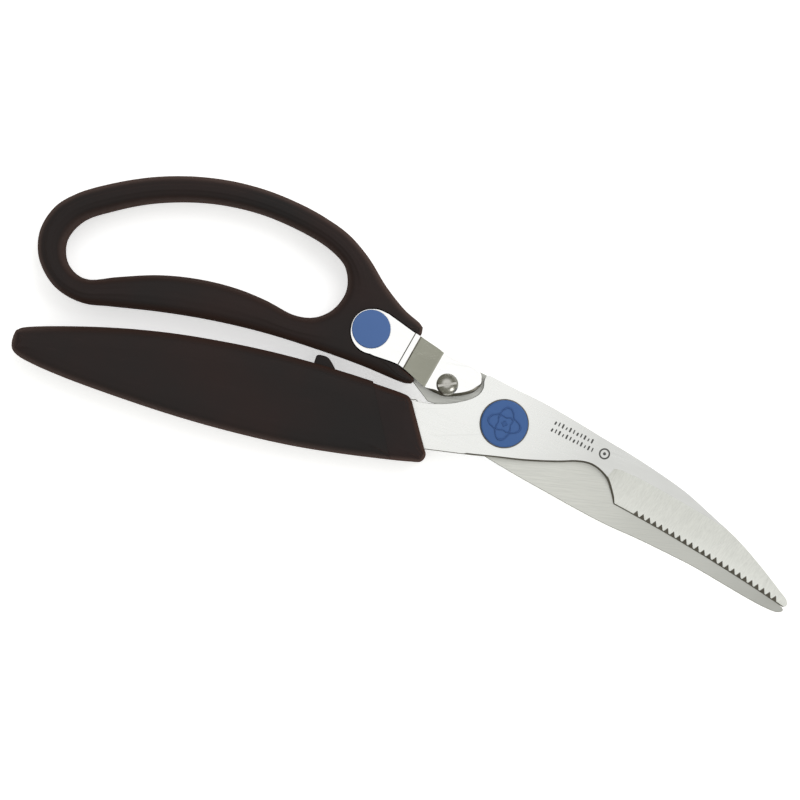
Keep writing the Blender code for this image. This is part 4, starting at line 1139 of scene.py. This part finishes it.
def loop_cap_back():
    low, high = low_mm("loop_cap_back"), high_mm("loop_cap_back")
    profile = [(0, high.z), (LOOP_CAP_RADIUS, high.z), (LOOP_CAP_RADIUS, low.z + 0.35),
               (LOOP_CAP_RADIUS - 0.1, low.z + 0.1), (LOOP_CAP_RADIUS - 0.35, low.z),
               (LOOP_CAP_RADIUS - 1.2, low.z), (LOOP_CAP_RADIUS - 1.4, low.z + 0.12),
               (0, low.z + 0.12)]
    cap = turned("loop_cap_blue_back", profile, 128, LOOP_BOLT_PLACE)
    place_piece(cap, LOOP, ["loop_cap_back"], BLUE)


# ---------------- pivot

def petal_outline(radius, swell):
    """A plain rosette outline with four petals about the pivot."""
    sides = 120
    angles = [2 * pi * i / sides for i in range(sides)]
    return [ray(angle, radius + swell * cos(4 * angle)) for angle in angles]


PIVOT_CAP_TOP = high_mm("pivot_cap_front").z
PIVOT_CAP_RIM = PIVOT_CAP_TOP - 0.35


def pivot_cap_front():
    seat = FRONT_TOP + 0.03
    profile = domed(PIVOT_CAP_RADIUS - 0.15, PIVOT_CAP_RIM, 0.12, 0.55, seat)
    profile += [(PIVOT_STUD_RADIUS, seat), (PIVOT_STUD_RADIUS, seat + 1.6), (0, seat + 1.6)]
    cap = turned("pivot_cap_blue", profile, 160)
    place_piece(cap, GRIP, ["pivot_cap_front"], BLUE_DEEP)


def pivot_emblem():
    """A plain rosette in relief, in place of a mark."""
    line = [petal_outline(4.5, 0.9), petal_outline(4.05, 0.78)[::-1]]
    inner = [petal_outline(2.6, -0.5), petal_outline(2.2, -0.4)[::-1]]
    for name, loops in (("line", line), ("inner", inner), ("dot", [petal_outline(0.8, 0.2)])):
        emblem = plate("pivot_cap_emblem_" + name, loops, PIVOT_CAP_RIM - 0.1, PIVOT_CAP_TOP, 0.16)
        place_piece(emblem, GRIP, [], BLUE_LINE)


def pivot_cap_back():
    low = low_mm("pivot_cap_back")
    seat = BACK_LOW - 0.03
    profile = [(0, low.z + 0.1), (4.8, low.z + 0.1), (5.0, low.z)]
    for i in range(9):
        angle = pi / 2 * i / 8
        profile.append((PIVOT_CAP_RADIUS - 0.5 + 0.5 * sin(angle),
                        low.z + 0.5 - 0.5 * cos(angle)))
    profile += [(PIVOT_CAP_RADIUS, seat), (PIVOT_STUD_RADIUS, seat),
                (PIVOT_STUD_RADIUS, low.z + 0.6), (0, low.z + 0.6)]
    cap = turned("pivot_cap_blue_back", profile, 160)
    place_piece(cap, GRIP, ["pivot_cap_back"], BLUE)


def hidden_nodes():
    """The CAD pieces that stay: each one's slots get a finished look."""
    looks = {
        "pivot_bolt": PAINTED_SHADE_RIM, "pivot_nut": PAINTED_SHADE_RIM, "pivot_spring": SPRING_LOOK,
        "lock_detent_spring": SPRING_LOOK, "tang_pin_1": PAINTED_SHADE_RIM, "tang_pin_2": PAINTED_SHADE_RIM,
        "loop_bolt": PAINTED_SHADE_RIM, "loop_tang_pin": PAINTED_SHADE_RIM,
    }
    for node, look in looks.items():
        made = frame["nodes"][node]
        made.data.materials.clear()
        made.data.materials.append(look)


# ---------------- studio

VIEW_TURN = radians(18.5)
VIEW_CENTRE = Vector((-32.9, -3.28, 6.5)) * MM
VIEW_WIDTH = 248.0
LENS, SENSOR = 120.0, 36.0
FLOOR_GAP = 0.05


def camera():
    data = bpy.data.cameras.new("camera")
    data.lens = LENS
    data.sensor_width = SENSOR
    data.clip_start = 0.01
    made = linked("camera", data)
    distance = VIEW_WIDTH * MM * LENS / SENSOR
    made.location = VIEW_CENTRE + Vector((0, 0, distance))
    made.rotation_euler = (0, 0, VIEW_TURN)
    bpy.context.scene.camera = made


def area_light(name, offset, size, watts, mirrored=True):
    """A square light, offset from the object in the camera's right, up and towards axes; polished
    faces don't show it unless it is mirrored."""
    right = Vector((cos(VIEW_TURN), sin(VIEW_TURN), 0))
    up = Vector((-sin(VIEW_TURN), cos(VIEW_TURN), 0))
    place = VIEW_CENTRE + right * offset[0] + up * offset[1] + Vector((0, 0, offset[2]))
    data = bpy.data.lights.new(name, "AREA")
    data.size = size
    data.energy = watts
    made = linked(name, data)
    made.location = place
    made.rotation_euler = (VIEW_CENTRE - place).to_track_quat("-Z", "Y").to_euler()
    made.visible_glossy = mirrored


def world():
    """A white studio: a wide soft light overhead, leaning to the picture's top, dim sides."""
    lean, heading = radians(11), VIEW_TURN + radians(107)
    brightest = (sin(lean) * cos(heading), sin(lean) * sin(heading),
                 cos(lean))
    made = bpy.data.worlds.new("studio")
    bpy.context.scene.world = made
    made.use_nodes = True
    tree = made.node_tree
    place = tree.nodes.new("ShaderNodeTexCoord")
    reach = tree.nodes.new("ShaderNodeVectorMath")
    reach.operation = "DOT_PRODUCT"
    reach.inputs[1].default_value = brightest
    ramp = tree.nodes.new("ShaderNodeMapRange")
    ramp.interpolation_type = "SMOOTHSTEP"
    put(ramp, From_Min=cos(radians(48)), From_Max=cos(radians(24)))
    colour = tree.nodes.new("ShaderNodeMix")
    colour.data_type = "RGBA"
    colour.inputs[6].default_value = (0.27, 0.27, 0.23, 1)
    colour.inputs[7].default_value = (1.12, 1.12, 1.12, 1)
    tree.links.new(place.outputs["Generated"], reach.inputs[0])
    tree.links.new(reach.outputs["Value"], ramp.inputs["Value"])
    tree.links.new(ramp.outputs["Result"], colour.inputs[0])
    tree.links.new(colour.outputs[2], tree.nodes["Background"].inputs["Color"])


def floor():
    bm = bmesh.new()
    bmesh.ops.create_grid(bm, x_segments=1, y_segments=1, size=3.0)
    made = meshed("floor", bm)
    made.location.z = (HANDLE_LOW - FLOOR_GAP) * MM
    made.data.materials.append(floor_look())


def studio():
    bpy.context.scene.view_settings.view_transform = "Standard"
    camera()
    world()
    floor()
    area_light("key", (0.36, 0.48, 0.80), 0.7, 3.7, mirrored=False)
    area_light("glint", (0.60, -0.60, 0.52), 0.30, 1.5)


studio()
front_blade()
back_blade()
blade_mark()
loop_shells()
grip_shell("grip_front", "grip_front_shell", MEETING_Z + SEAM, HANDLE_TOP)
grip_shell("grip_back", "grip_back_shell", MEETING_Z - SEAM, HANDLE_LOW)
collar()
thumb_slide()
lock_bar()
strap()
strap_screw()
strap_bush()
loop_cap_front()
loop_cap_back()
pivot_cap_front()
pivot_emblem()
pivot_cap_back()
hidden_nodes()
